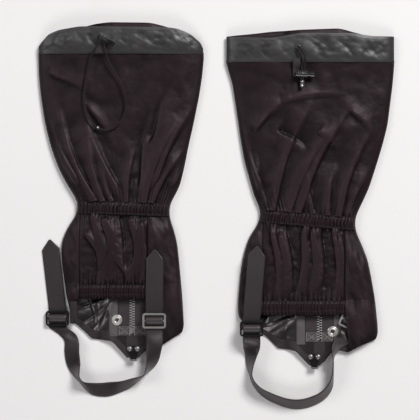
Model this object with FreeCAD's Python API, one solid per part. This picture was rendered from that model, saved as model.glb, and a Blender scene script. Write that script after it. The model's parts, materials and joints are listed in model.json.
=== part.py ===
import FreeCAD, Part
import math
import os

os.makedirs("parts", exist_ok=True)
V = FreeCAD.Vector

# Driving dimensions, in millimetres. X runs across the pair, Y up the leg, Z up off the ground.
CLOTH = 1.0            # one layer of coated nylon, drawn thick enough to collide
FOLD_Z = 5.0           # height of the side folds of the flattened leg
RAISE = 5.6            # lift of the front over the zip and its flap
FLAT_HALF = 30.0       # half width of the lifted strip
SLOPE_END = 48.0       # where the lifted strip is back on the ground
PANEL_EDGE = 7.5       # front panels stop this far from the zip centre
LAYER_GAP = 3.6        # casing room between its two layers
TAPE_EDGE = 20.5       # outer edge of the zip tapes
TAPE_INNER = 3.3       # inner edge of the zip tapes
TAPE_T = 0.7
SKIM = 0.02            # air between layers that lie on each other
STRAP_W = 25.0
STRAP_T = 1.5
BAR_R = 1.4            # wire of the strap adjusters
BAR_Y = 9.5            # distance between adjuster bars
BUCKLE_W = 33.5
STRAP_LOW = 4.0        # how far the webbing dips under the outer bars
STRAP_HIGH = 2.6       # how far it rises over the middle bar
CORD_D = 2.6
LOCK_R = 5.2
LOCK_LEN = 17.0
LOCK_TRAVEL = 3.0

# Each station of a leg: y, tilt of the station, left fold, right fold, height of the back layer.
LEFT = {
    "name": "left", "zip": -121.2, "seams": (-196.5, -98.5), "flap_side": 1,
    "band": [(278, 0, -253, -19, 24), (254, 0, -254.5, -18, 24), (232, 0, -255.5, -18, 24)],
    "calf": [(232, 0, -255.5, -18, 20), (200, 0, -254.5, -21, 19), (171, 0, -251.7, -25.5, 18.5),
             (134, 0, -246, -33, 18), (101, 0, -238, -40.5, 18), (70, 0, -227, -46.5, 18),
             (43, -0.02, -214, -53.5, 18), (19.5, -0.035, -199, -67.5, 18)],
    "waist": [(19.5, -0.035, -199, -67.5, 19), (1.5, -0.035, -199, -68.5, 19)],
    "ankle": [(1.5, -0.035, -199, -68.5, 18), (-17, -0.02, -213, -62, 21),
              (-40, 0, -223, -56.5, 22), (-70, 0, -221.7, -53.5, 22), (-98, 0, -217.4, -51, 21)],
    "heel": [(-98, 0, -217.4, -51, 21), (-114.5, 0, -215, -49.5, 21)],
    "below": [(-114.5, 0, -215, -49.5, 20), (-134, 0, -210, -48.2, 18.5), (-165, 0, -210, -46.6, 13),
              (-188, 0, -210, -46.6, 9)],
    "foot": -215,
    "top_back": [(-258, 228), (-255, 243), (-241, 259), (-226.5, 265), (-196, 270.3), (-71, 269),
                 (-55, 267), (-36.6, 259), (-22.3, 246.5), (-16, 228)],
    "top_front": [(-258, 228), (-255, 243), (-241, 258), (-200, 268), (-176, 275), (-157, 277.3),
                  (-96, 276.8), (-71, 271), (-36.6, 258), (-22.3, 246), (-16, 228)],
    "hem": [(-216, -100), (-210.5, -146), (-201.6, -156), (-180.5, -176), (-151, -179), (-128.7, -203),
            (-111, -203), (-100, -194.5), (-79, -185.5), (-67, -187.5), (-46, -165), (-46, -100)],
    "hem_in": [(-216, -100), (-205, -140), (-175, -164), (-144, -167), (-144, -172), (-98, -172),
               (-79, -174), (-72, -175.5), (-46, -152), (-46, -100)],
    "side_cut": [[(-230, -114.6), (-196.6, -114.6), (-201.6, -156), (-210.5, -146), (-230, -146)],
                 [(-98.4, -114.6), (-30, -114.6), (-30, -165), (-46.5, -165), (-67, -187.5), (-98.4, -186)]],
    "stud": (-143.0, -149.2), "hook_y": -191.5, "hook_x": -119.2,
    "exit": (-164, 240), "lock": (-160.2, 253.8), "lock_turn": -25.0,
    "tab_boxes": [(-210.2, -154, -199.5, -122), (-101, -176, -77, -146)],
}
RIGHT = {
    "name": "right", "zip": 147.5, "seams": (66.0, 184.0), "flap_side": -1,
    "band": [(270, 0, 11, 256.5, 24), (245, 0, 12, 256, 24), (220, 0, 13.7, 255, 24)],
    "calf": [(220, 0, 13.7, 255, 20), (190, -0.01, 23, 252.5, 19), (160, -0.02, 27.5, 248.5, 18.5),
             (134, -0.03, 31, 245.3, 18), (105, -0.045, 35, 237.5, 18), (75, -0.06, 40, 228, 18),
             (45, -0.075, 48, 218, 18), (20, -0.085, 55, 206, 18), (3, -0.085, 64, 198.3, 18)],
    "waist": [(3, -0.085, 64, 198.3, 19), (-15, -0.085, 62, 198.8, 19)],
    "ankle": [(-15, -0.085, 62, 198.8, 18), (-34, -0.06, 47.5, 207, 21), (-60, -0.04, 39, 217, 22),
              (-90, -0.02, 34, 222.5, 22), (-121, 0, 31, 227.5, 21)],
    "heel": [(-121, 0, 31, 227.5, 21), (-138, 0, 31, 229, 20.5)],
    "below": [(-138, 0, 31, 229, 20), (-155, 0, 31, 231, 18.5), (-176, 0, 33, 232, 16),
              (-198, 0, 36, 232, 12)],
    "foot": -225,
    "top_back": [(8, 216), (11.4, 256.3), (64, 253.7), (82, 254), (120, 260.8), (193, 260.8),
                 (221, 256.5), (260, 256.3), (260, 216)],
    "top_front": [(8, 216), (11.4, 256.3), (25.7, 258.4), (54, 261), (79, 264), (140, 267.5),
                  (177, 268.4), (210, 259.8), (221, 256.5), (260, 256.3), (260, 216)],
    "hem": [(30, -100), (31, -150), (64, -167.3), (86, -189.6), (112, -193), (133.7, -215.2),
            (147.3, -214.5), (165.2, -199.5), (176, -192), (188, -193), (205.5, -196), (232, -176),
            (232, -100)],
    "hem_in": [(30, -100), (42, -144), (70, -156), (91, -178), (116, -181), (124, -182), (168.5, -182),
               (190, -181), (203, -183), (232, -162), (232, -100)],
    "side_cut": [[(20, -138.1), (65.9, -138.1), (64, -167.3), (31, -150), (20, -150)],
                 [(184.1, -138.1), (245, -138.1), (245, -176.3), (232, -176.3), (205.5, -196),
                  (184.1, -193)]],
    "stud": (166.6, -165.9), "hook_y": -203.0, "hook_x": 140.2,
    "exit": (116.5, 241.0), "lock": (121.6, 202.3), "lock_turn": -3.0,
    "tab_boxes": [(36, -160, 62, -140), (186, -152, 208, -139)], "tab_inset": (-1.25, 1.3),
}

# Foot straps: each pair is the low edge and the high edge of the webbing, from one adjuster to the other.
LEFT["ends"] = [{"at": (-228.5, -147, 5.0), "turn": 0.0, "tip": (-240, -34, 1.2), "lean": 9.0},
                {"at": (-89, -149.4, 25.4), "turn": 0.0, "tip": (-88.2, -48, 24.6), "lean": 0.0}]
LEFT["strap"] = [((-227, -170, 0.8), (-203, -169, 5.0)),
                 ((-218.6, -180, 0.8), (-197.3, -180, 13.4)),
                 ((-218.4, -195, 0.8), (-196.9, -195, 13.4)),
                 ((-216.2, -210.2, 0.8), (-195.3, -210.2, 14.4)),
                 ((-211.4, -221.7, 0.8), (-195.6, -216, 19.3)),
                 ((-205.5, -229.5, 0.8), (-196, -223.1, 23)),
                 ((-196.5, -239.5, 0.8), (-195.9, -230, 23.8)),
                 ((-186.5, -251, 0.8), (-191.5, -236.5, 20.5)),
                 ((-178, -257, 0.8), (-183.5, -238.8, 16.8)),
                 ((-165, -259.3, 0.8), (-167.3, -239.2, 15.5)),
                 ((-154, -258.7, 0.8), (-152.5, -238, 14.6)),
                 ((-140, -254, 0.8), (-136.5, -236.4, 18)),
                 ((-124, -246.5, 0.8), (-119.5, -232, 20.4)),
                 ((-109.5, -234.5, 0.8), (-106, -228.5, 24.7)),
                 ((-99.6, -225.5, 1.2), (-102, -222.5, 25.6)),
                 ((-89, -216, 2), (-100.6, -214.5, 23.8)),
                 ((-83, -206, 4), (-100.2, -205.5, 21.8)),
                 ((-79.5, -193, 9), (-100.1, -193, 21)),
                 ((-77, -180, 15), (-101, -180, 20)),
                 ((-76.5, -170, 20), (-101.5, -170, 20.5))]
RIGHT["ends"] = [{"at": (50, -161, 24.6), "turn": 0.0, "tip": (58.2, -43, 24.2), "lean": -8.0},
                 {"at": (193, -152, 12.0), "turn": -24.0, "tip": (199, -66, 8.2), "lean": -6.0}]
RIGHT["strap"] = [((37.8, -181, 18.5), (62.6, -181, 20)),
                  ((39, -190, 9), (61.5, -190, 19.5)),
                  ((41.5, -202, 1.5), (56.8, -201.6, 21.2)),
                  ((43, -215, 0.8), (52, -215.5, 24)),
                  ((46.6, -225.5, 0.8), (50.5, -227.5, 25.3)),
                  ((51.5, -240.5, 0.8), (55, -237.5, 25.3)),
                  ((60, -253.1, 0.8), (64, -246, 24.4)),
                  ((71, -262.5, 0.8), (75.5, -252, 23)),
                  ((85.4, -269.7, 0.8), (88, -257, 22.2)),
                  ((99.7, -275, 0.8), (101, -261, 21.5)),
                  ((114, -277.2, 0.8), (114, -262.5, 21)),
                  ((128.3, -275.7, 0.8), (126.5, -261, 21)),
                  ((142.6, -270.8, 0.8), (138.5, -257, 21.2)),
                  ((154.4, -263.7, 0.8), (148.5, -252, 22)),
                  ((162.7, -254.5, 0.8), (156.5, -244, 22.6)),
                  ((167, -244.1, 0.8), (161.8, -236, 23.9)),
                  ((168, -230, 0.8), (165, -226, 25.3)),
                  ((168, -213, 0.8), (166.2, -212.5, 25.7)),
                  ((168.6, -204, 4.8), (165.6, -203, 29.4)),
                  ((173, -194, 8.8), (164.5, -189, 31.6)),
                  ((187, -184, 9.2), (168, -177, 23.8)),
                  ((199, -176, 8.6), (176, -167.5, 9.8))]

# Free cords, as the corners of their runs.
CORDS = {
    "left_cord": [(-163.4, 250.2, 30.2), (-176, 237, 30), (-181.5, 218, 26.5), (-186.5, 197, 24),
                  (-191, 162, 23.5), (-180.5, 133.5, 23.2), (-158, 119, 23.2), (-135.5, 133.5, 23.4),
                  (-127.5, 160, 23.6), (-133, 183, 24), (-144.5, 203, 24.4), (-155, 221, 26.8),
                  (-159.6, 237, 29.5), (-160.9, 249.1, 30.2)],
    "right_cord": [[(118.6, 241, 27.5), (125.5, 231.5, 28.8), (127.2, 221, 28.4), (123.4, 207.5, 26.4),
                    (123.4, 194, 26.4)],
                   [(114.6, 239.6, 27.5), (121, 230.5, 28.8), (123.2, 220, 28.4), (120.6, 207.5, 26.4),
                    (120.6, 194, 26.4)]],
}


def save(shape, name):
    shape.exportStep("parts/" + name + ".step")
    return shape


def loft(sections):
    wires = [Part.makePolygon([V(*p) for p in pts] + [V(*pts[0])]) for pts in sections]
    return Part.makeLoft(wires, True, True)


def prism(points, low=-5.0, high=60.0):
    wire = Part.makePolygon([V(x, y, low) for x, y in points] + [V(points[0][0], points[0][1], low)])
    return Part.Face(wire).extrude(V(0, 0, high - low))


def back_point(station, s, inset):
    y, tilt, left, right, height = station
    centre = (left + right) / 2
    half = (right - left) / 2 - inset
    rise = (height - FOLD_Z - inset) * max(0.0, 1 - abs(s) ** 4) ** 0.25
    x = centre + half * s
    return (x, y + tilt * (x - centre), FOLD_Z + rise)


def back_strip(stations, seams, inset, thick, part):
    """A strip of the upper layer: all of it, or left, middle or right of the two seams."""
    sections = []
    for st in stations:
        centre = (st[2] + st[3]) / 2
        half = (st[3] - st[2]) / 2
        cuts = [max(-0.97, min(0.97, (x - centre) / half)) for x in seams]
        if part == "all":
            ss = [-1, -0.985, -0.94, -0.82, -0.6, -0.25, 0.25, 0.6, 0.82, 0.94, 0.985, 1]
        elif part == "left":
            ss = [-1 + f * (cuts[0] + 1) for f in (0, 0.06, 0.25, 0.55, 1)]
        elif part == "right":
            ss = [1 - f * (1 - cuts[1]) for f in (1, 0.55, 0.25, 0.06, 0)]
        else:
            ss = [cuts[0] + f / 6 * (cuts[1] - cuts[0]) for f in range(7)]
        outer = [back_point(st, s, inset) for s in ss]
        inner = [back_point(st, s, inset + thick) for s in ss]
        sections.append(outer + inner[::-1])
    return loft(sections)


def front_curve(station, zip_x, side, inset):
    """The lower layer from a side fold to the zip edge: side -1 is left of the zip, 1 is right."""
    y, tilt, left, right, height = station
    centre = (left + right) / 2
    fold = left if side < 0 else right
    back = zip_x + side * SLOPE_END
    if side * (fold - back) < 9:
        back = fold - side * 9
    pts = [(fold - side * inset, FOLD_Z), (fold - side * (1 + inset), 1.6 + 0.4 * inset),
           (fold - side * (5 + 0.4 * inset), inset), (back, inset),
           (zip_x + side * FLAT_HALF, RAISE + inset), (zip_x + side * PANEL_EDGE, RAISE + inset)]
    return [(x, y + tilt * (x - centre), z) for x, z in pts]


def front_strip(stations, zip_x, side, inset, thick):
    sections = []
    for st in stations:
        outer = front_curve(st, zip_x, side, inset)
        inner = front_curve(st, zip_x, side, inset + thick)
        sections.append(outer + inner[::-1])
    return loft(sections)


def box(x0, y0, z0, x1, y1, z1):
    return Part.makeBox(x1 - x0, y1 - y0, z1 - z0, V(x0, y0, z0))


def cylinder(radius, length, base, axis):
    return Part.makeCylinder(radius, length, V(*base), V(*axis))


def sausage(points, radius):
    """A hidden cord run: short cylinders with a ball at each bend."""
    shape = None
    for a, b in zip(points, points[1:]):
        start, end = V(*a), V(*b)
        piece = Part.makeCylinder(radius, (end - start).Length, start, end - start)
        shape = piece if shape is None else shape.fuse(piece)
        if b is not points[-1]:
            shape = shape.fuse(Part.makeSphere(radius, end))
    return shape.removeSplitter()


def cord(points, radius, label):
    """Straight runs joined by tangent arcs, swept with a round section."""
    pts = [V(*p) for p in points]
    edges = []
    start = pts[0]
    radii = []
    for i in range(1, len(pts) - 1):
        before, after = pts[i - 1] - pts[i], pts[i + 1] - pts[i]
        u, w = V(before), V(after)
        u.normalize()
        w.normalize()
        turn = math.pi - u.getAngle(w)
        reach = 0.45 * min(before.Length, after.Length)
        radii.append(reach / math.tan(turn / 2))
        a, c = pts[i] + u * reach, pts[i] + w * reach
        bisector = u + w
        bisector.normalize()
        centre = pts[i] + bisector * (radii[-1] / math.cos(turn / 2))
        middle = centre - bisector * radii[-1]
        edges.append(Part.LineSegment(start, a).toShape())
        edges.append(Part.Arc(a, middle, c).toShape())
        start = c
    edges.append(Part.LineSegment(start, pts[-1]).toShape())
    wire = Part.Wire(edges)
    profile = Part.Wire(Part.makeCircle(radius, pts[0], pts[1] - pts[0]))
    tube = wire.makePipeShell([profile], True, False)
    section = math.pi * radius ** 2
    print(label, "length", round(wire.Length, 1), "least radius", round(min(radii), 1),
          "volume ratio", round(tube.Volume / (section * wire.Length), 3))
    return tube


def ribbon(pairs, thick):
    """Webbing through pairs of edge points, its thickness square to the run and to the width."""
    sections = []
    mids = [((V(*a) + V(*b)) * 0.5) for a, b in pairs]
    for i, (a, b) in enumerate(pairs):
        run = mids[min(i + 1, len(mids) - 1)] - mids[max(i - 1, 0)]
        low, high = V(*a), V(*b)
        normal = run.cross(high - low)
        normal.normalize()
        normal = normal * (thick / 2)
        sections.append([tuple(low - normal), tuple(high - normal), tuple(high + normal), tuple(low + normal)])
    return loft(sections)


def end_frame(end):
    turn = math.radians(end["turn"])
    along = V(-math.sin(turn), math.cos(turn), 0)
    across = V(math.cos(turn), math.sin(turn), 0)
    return V(*end["at"]), along, across


def strap_end(end, low_first):
    """Edge pairs through an adjuster, from the foot side to the tail's point."""
    at, along, across = end_frame(end)
    rows = [(-13, -STRAP_LOW), (-7, -STRAP_LOW), (-2.4, STRAP_HIGH), (2.4, STRAP_HIGH),
            (7, -STRAP_LOW), (13, -STRAP_LOW)]
    half = STRAP_W / 2
    pairs = []
    for y, z in rows:
        mid = at + along * y + V(0, 0, z)
        pairs.append((tuple(mid - across * half), tuple(mid + across * half)))
    start = at + along * 13 + V(0, 0, -STRAP_LOW)
    tip = V(*end["tip"])
    lean = math.radians(end["lean"])
    tail = V(math.cos(lean), math.sin(lean), 0)
    for f in (0.3, 0.6, 0.85):
        mid = start + (tip - start) * f
        width = across * (1 - f) + tail * f
        width.normalize()
        pairs.append((tuple(mid - width * half), tuple(mid + width * half)))
    pairs.append((tuple(tip - tail * 1.5), tuple(tip + tail * 1.5)))
    if not low_first:
        pairs = [(b, a) for a, b in pairs]
    return pairs


def buckle(end):
    """A three-bar slide: a flat frame with a bar across its middle."""
    half_x, half_y = BUCKLE_W / 2, BAR_Y + BAR_R
    frame = box(-half_x, -half_y, -BAR_R, half_x, half_y, BAR_R)
    corners = [e for e in frame.Edges if abs(e.tangentAt(e.FirstParameter).z) > 0.9]
    frame = frame.makeFillet(4.0, corners)
    for side in (-1, 1):
        y0, y1 = sorted((side * BAR_R, side * (BAR_Y - BAR_R)))
        frame = frame.cut(box(-half_x + 2 * BAR_R, y0, -5, half_x - 2 * BAR_R, y1, 5))
    frame.rotate(V(0, 0, 0), V(0, 0, 1), end["turn"])
    frame.translate(V(*end["at"]))
    return frame


def lace_hook(x, y, z):
    """A riveted plate that bends back over itself at the toe end."""
    half = 6.8
    plate = box(x - half, y - 7, z, x + half, y + 5, z + 1.2)
    neck = box(x - 4.6, y - 13, z, x + 4.6, y - 6.9, z + 1.2)
    bend = cylinder(3.0, 9.2, (x - 4.6, y - 13, z + 3.0), (1, 0, 0))
    bend = bend.cut(cylinder(1.8, 12, (x - 6, y - 13, z + 3.0), (1, 0, 0)))
    bend = bend.common(box(x - 8, y - 20, z - 1, x + 8, y - 13, z + 8))
    prong = box(x - 4.6, y - 13, z + 4.8, x + 4.6, y - 6.5, z + 6.0)
    hook = plate.fuse(neck).fuse(bend).fuse(prong)
    for dx in (-5.5 + 1.2, 5.5 - 1.2):
        hook = hook.cut(cylinder(1.7, 4, (x + dx, y, z - 1), (0, 0, 1)))
    return hook.removeSplitter()


def lock_parts(g):
    """Barrel cord lock along its own X, then turned and set down on the cloth."""
    slot_half = 3.6
    outer = cylinder(LOCK_R, LOCK_LEN, (-LOCK_LEN / 2, 0, 0), (1, 0, 0))
    bore = cylinder(3.45, LOCK_LEN - 1.2, (-LOCK_LEN / 2 + 1.2, 0, 0), (1, 0, 0))
    slot = box(-slot_half, -9, -1.75, slot_half, 9, 1.75)
    body = outer.cut(bore).cut(slot)
    stem = cylinder(3.35, LOCK_LEN - 5.2 + LOCK_TRAVEL, (-LOCK_LEN / 2 + 5.2, 0, 0), (1, 0, 0))
    head_x = LOCK_LEN / 2 + LOCK_TRAVEL + 0.4
    head = cylinder(4.7, 5.5, (head_x, 0, 0), (1, 0, 0))
    neck = cylinder(3.35, 2.0, (head_x - 1.0, 0, 0), (1, 0, 0))
    long_slot = box(-slot_half, -9, -1.75, slot_half + LOCK_TRAVEL + 0.2, 9, 1.75)
    plunger = stem.fuse(neck).fuse(head).cut(long_slot).removeSplitter()
    coil = cylinder(2.9, 3.7, (-LOCK_LEN / 2 + 1.3, 0, 0), (1, 0, 0))
    coil = coil.cut(cylinder(2.1, 6, (-LOCK_LEN / 2 + 0.6, 0, 0), (1, 0, 0)))
    shapes = [body, plunger, coil]
    for shape in shapes:
        shape.rotate(V(0, 0, 0), V(0, 0, 1), g["lock_turn"])
        shape.translate(V(g["lock"][0], g["lock"][1], g["lock_z"]))
    return shapes


def build(g):
    n = g["name"] + "_"
    zip_x = g["zip"]
    seams = g["seams"]

    # Top band: two layers of cloth with the drawcord between them.
    inner_in = CLOTH + LAYER_GAP
    back = back_strip(g["band"], seams, 0, CLOTH, "all")
    back = back.cut(cylinder(3.4, 8, (g["exit"][0], g["exit"][1], 20.5), (0, 0, 1)))
    layers = [back, back_strip(g["band"], seams, inner_in, CLOTH, "all")]
    layers = [s.common(prism(g["top_back"])) for s in layers]
    for side in (-1, 1):
        for inset in (0, inner_in):
            strip = front_strip(g["band"], zip_x, side, inset, CLOTH)
            layers.append(strip.common(prism(g["top_front"])))
    save(Part.makeCompound(layers), n + "band")
    mid_in = CLOTH + LAYER_GAP / 2
    cord_y = g["exit"][1]
    level = [(cord_y, 0, g["band"][1][2] + 0.3, g["band"][1][3] - 0.3, 24)]
    runs = []
    for side in (-1, 1):
        front = front_curve(level[0], zip_x, side, mid_in)[::-1]
        ss = [1, 0.985, 0.94, 0.82, 0.6, 0.25]
        over = [back_point(level[0], side * s, mid_in) for s in ss]
        stop = g["exit"][0] + side * 4.5
        over = [p for p in over if side * (p[0] - stop) > 6]
        over.append((stop, cord_y, 24 - mid_in))
        runs.append(sausage([(p[0], cord_y, p[2]) for p in front[1:-1] + over], 0.95))
    save(Part.makeCompound(runs), n + "cord_run")

    # Leg above the waist.
    save(back_strip(g["calf"], seams, 0, CLOTH, "all"), n + "calf_back")
    fronts = [front_strip(g["calf"], zip_x, side, 0, CLOTH) for side in (-1, 1)]
    save(Part.makeCompound(fronts), n + "calf_front")

    # Waist and heel casings, each with its elastic between two layers.
    elastics = []
    waist = [back_strip(g["waist"], seams, 0, CLOTH, "all"),
             back_strip(g["waist"], seams, CLOTH + 1.4, CLOTH, "all")]
    for side in (-1, 1):
        waist.append(front_strip(g["waist"], zip_x, side, 0, CLOTH))
    save(Part.makeCompound(waist), n + "waist_casing")
    elastics.append(back_strip(g["waist"], seams, CLOTH + 0.15, 1.1, "all"))
    heel = [back_strip(g["heel"], seams, inset, CLOTH, "mid") for inset in (0, CLOTH + 1.4)]
    save(Part.makeCompound(heel), n + "heel_casing")
    elastics.append(back_strip(g["heel"], seams, CLOTH + 0.15, 1.1, "mid"))
    save(Part.makeCompound(elastics), n + "elastics")

    # Ankle: gathered middle, smooth sides that run on below the heel casing.
    save(back_strip(g["ankle"], seams, 0, CLOTH, "mid"), n + "ankle_back")
    sides = []
    for part, cut in zip(("left", "right"), g["side_cut"]):
        upper = back_strip(g["ankle"] + g["heel"][1:], seams, 0, CLOTH, part)
        lower = back_strip(g["below"], seams, 0, CLOTH, part).common(prism(cut))
        sides.append(upper)
        sides.append(lower)
    save(Part.makeCompound(sides), n + "ankle_sides")

    # Front below the waist, cut to the hem line, with its matte facing inside.
    low = g["ankle"] + g["heel"][1:] + g["below"][1:-1]
    last = g["below"][-1]
    low = low + [(g["foot"], 0, last[2], last[3], last[4])]
    hem = prism(g["hem"] + [(g["hem"][-1][0] + 30, -99), (g["hem"][-1][0] + 30, 60),
                            (g["hem"][0][0] - 30, 60), (g["hem"][0][0] - 30, -99)])
    hook_x, hook_y = g["hook_x"], g["hook_y"]
    holes = [cylinder(1.7, 30, (hook_x + dx, hook_y, -2), (0, 0, 1)) for dx in (-4.3, 4.3)]
    stud_x, stud_y = g["stud"]
    stud_hole = cylinder(2.7, 30, (stud_x, stud_y, 2), (0, 0, 1))
    instep = [front_strip(low, zip_x, side, 0, CLOTH).common(hem) for side in (-1, 1)]
    instep = [s.cut(holes[0]).cut(holes[1]).cut(stud_hole) for s in instep]
    save(Part.makeCompound(instep), n + "instep")
    band_area = prism(g["hem"]).cut(prism(g["hem_in"], -6, 61))
    facing = []
    for side in (-1, 1):
        strip = front_strip(low, zip_x, side, CLOTH + SKIM, 0.8)
        facing.append(strip.common(band_area).cut(holes[0]).cut(holes[1]).cut(stud_hole))
    middle = box(zip_x - PANEL_EDGE, g["foot"], RAISE + CLOTH + SKIM, zip_x + PANEL_EDGE,
                 g["hem_in"][4][1] - 0.2, RAISE + CLOTH + SKIM + 0.8)
    facing.append(middle.common(prism(g["hem"])).cut(holes[0]).cut(holes[1]))
    fused = facing[0].fuse(facing[2]).fuse(facing[1]).removeSplitter()
    save(fused, n + "facing")

    # Zip: tapes inside, teeth, slider on the outside, puller, and the flap over them.
    top = g["band"][0][0] - 12
    foot = g["hem_in"][4][1] + 0.3
    tape_z = RAISE + CLOTH + SKIM
    tapes = []
    for side in (-1, 1):
        x0, x1 = sorted((zip_x + side * TAPE_INNER, zip_x + side * TAPE_EDGE))
        tape = box(x0, foot, tape_z, x1, top, tape_z + TAPE_T)
        tapes.append(tape.cut(stud_hole))
    save(Part.makeCompound(tapes), n + "zip_tapes")
    teeth = box(zip_x - 3.2, foot + 3, RAISE - 1.0, zip_x + 3.2, top, tape_z + TAPE_T + 0.3)
    save(teeth, n + "zip_teeth")
    slider_y = top - 18
    slider_z = RAISE - 1.15
    slider = box(zip_x - 5.2, slider_y, slider_z - 1.0, zip_x + 5.2, slider_y + 13, slider_z)
    for side in (-1, 1):
        x0, x1 = sorted((zip_x + side * 3.4, zip_x + side * 5.2))
        slider = slider.fuse(box(x0, slider_y, slider_z - 0.5, x1, slider_y + 13, RAISE + 0.9))
    pin_y, pin_z = slider_y + 3.9, slider_z - 1.7
    for side in (-1, 1):
        x0, x1 = sorted((zip_x + side * 2.1, zip_x + side * 3.1))
        slider = slider.fuse(box(x0, pin_y - 0.9, pin_z - 0.5, x1, pin_y + 0.9, slider_z - 0.5))
    slider = slider.fuse(cylinder(0.32, 5.4, (zip_x - 2.7, pin_y, pin_z), (1, 0, 0))).removeSplitter()
    save(slider, n + "zip_slider")
    puller = cylinder(0.65, 3.6, (zip_x - 1.8, pin_y, pin_z), (1, 0, 0))
    puller = puller.fuse(box(zip_x - 1.8, pin_y - 2.4, pin_z - 0.35, zip_x + 1.8, pin_y, pin_z + 0.35))
    puller = puller.fuse(box(zip_x - 3.4, slider_y - 24, pin_z - 0.35, zip_x + 3.4, pin_y - 2.2, pin_z + 0.35))
    puller = puller.cut(cylinder(0.36, 6, (zip_x - 3, pin_y, pin_z), (1, 0, 0))).removeSplitter()
    puller = puller.cut(cylinder(1.6, 9, (zip_x, slider_y - 20, 0), (0, 0, 1)))
    save(puller, n + "zip_puller")
    away = -g["flap_side"]
    x0, x1 = sorted((zip_x - away * 24.0, zip_x + away * 29.5))
    flap_low, flap_top = 1.1, 1.9
    flap = box(x0, stud_y - 12, flap_low, x1, g["calf"][0][0] - 12, flap_top)
    flap = flap.cut(cylinder(2.7, 8, (stud_x, stud_y, -2), (0, 0, 1)))
    save(flap, n + "flap")
    cap = cylinder(6.5, 1.05, (stud_x, stud_y, 0.02), (0, 0, 1))
    socket = cylinder(5.5, 1.9, (stud_x, stud_y, flap_top + 0.02), (0, 0, 1))
    link = cylinder(2.6, 1.2, (stud_x, stud_y, 0.9), (0, 0, 1))
    cap = cap.fuse(link).fuse(socket).cut(cylinder(2.4, 5, (stud_x, stud_y, flap_top - 0.4), (0, 0, 1)))
    save(cap.removeSplitter(), n + "stud_cap")
    ring_z = tape_z + TAPE_T + 0.02
    post = cylinder(7.0, 1.4, (stud_x, stud_y, ring_z), (0, 0, 1))
    post = post.fuse(cylinder(2.6, ring_z - RAISE + 1.2, (stud_x, stud_y, RAISE - 0.7), (0, 0, 1)))
    post = post.fuse(cylinder(4.6, 0.9, (stud_x, stud_y, RAISE - 0.95), (0, 0, 1)))
    post = post.fuse(cylinder(2.15, 3, (stud_x, stud_y, RAISE - 3.1), (0, 0, 1)))
    post = post.cut(cylinder(1.3, 8, (stud_x, stud_y, RAISE - 1.0), (0, 0, 1)))
    save(post.removeSplitter(), n + "stud_post")

    # Lace hook and its rivets.
    hook_z = RAISE + CLOTH + SKIM + 0.8 + SKIM
    save(lace_hook(hook_x, hook_y, hook_z), n + "lace_hook")
    rivets = []
    for dx in (-4.3, 4.3):
        rivet = cylinder(1.6, 4.6, (hook_x + dx, hook_y, RAISE - 0.7), (0, 0, 1))
        rivet = rivet.fuse(cylinder(3.4, 0.65, (hook_x + dx, hook_y, RAISE - 0.7), (0, 0, 1)))
        dome = Part.makeSphere(4.6, V(hook_x + dx, hook_y, hook_z + 1.22 - 2.9))
        dome = dome.common(cylinder(3.5, 5, (hook_x + dx, hook_y, hook_z + 1.22), (0, 0, 1)))
        rivets.append(rivet.fuse(dome).removeSplitter())
    save(Part.makeCompound(rivets), n + "rivets")

    # Foot strap, its adjusters and the tabs that hold them.
    first = strap_end(g["ends"][0], True)[::-1]
    second = strap_end(g["ends"][1], False)
    save(ribbon(first + g["strap"] + second, STRAP_T), n + "strap")
    save(buckle(g["ends"][0]), n + "buckle_a")
    save(buckle(g["ends"][1]), n + "buckle_b")
    tabs = []
    for index, area in enumerate(g["tab_boxes"]):
        inset = g.get("tab_inset", (-1.25, -1.25))[index]
        strip = back_strip(g["below"], seams, inset, 1.0, ("left", "right")[index])
        x0, y0, x1, y1 = area
        tabs.append(strip.common(box(x0, y0, -1, x1, y1, 60)))
    save(Part.makeCompound(tabs), n + "tabs")

    # Cord lock on its tab of tape.
    body, plunger, coil = lock_parts(g)
    save(body, n + "lock_body")
    save(plunger, n + "lock_plunger")
    save(coil, n + "lock_spring")
    save(ribbon(g["lock_tab"], 0.9), n + "lock_tab")
    crimp = cylinder(g["crimp"][1], g["crimp"][2], g["crimp"][0], g["crimp"][3])
    if g["crimp"][4]:
        crimp = crimp.cut(cylinder(g["crimp"][4], 40, tuple(V(*g["crimp"][0]) - V(*g["crimp"][3]) * 3),
                                   g["crimp"][3]))
    save(crimp, n + "crimp")


LEFT["lock_z"] = 30.2
RIGHT["lock_z"] = 26.4
LEFT["lock_tab"] = [((-175, 232.5, 24.6), (-156, 232.5, 24.6)), ((-173, 240, 24.7), (-158, 240, 24.7)),
                    ((-170, 246, 24.7), (-159, 245, 24.7))]
RIGHT["lock_tab"] = [((108.5, 225, 24.7), (121, 225, 24.7)), ((108.5, 218, 24.5), (121, 218, 24.5)),
                     ((108.5, 209, 20.9), (121, 209, 20.9)), ((109, 199, 20.4), (121, 198.5, 20.4))]
LEFT["crimp"] = ((-170.6, 127.1, 23.2), 2.4, 3.2, (0.8406, -0.5417, 0), 1.5)
RIGHT["crimp"] = ((122, 193.2, 26.2), 3.4, 9.5, (0, -1, -0.05), 0)

for gaiter in (LEFT, RIGHT):
    build(gaiter)
save(cord(CORDS["left_cord"], CORD_D / 2, "left_cord"), "left_cord")
strands = [cord(pts, CORD_D / 2, "right_cord") for pts in CORDS["right_cord"]]
save(Part.makeCompound(strands), "right_cord")
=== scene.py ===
import json
import math
import random

import bpy
import numpy as np
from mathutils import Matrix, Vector, noise

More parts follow.
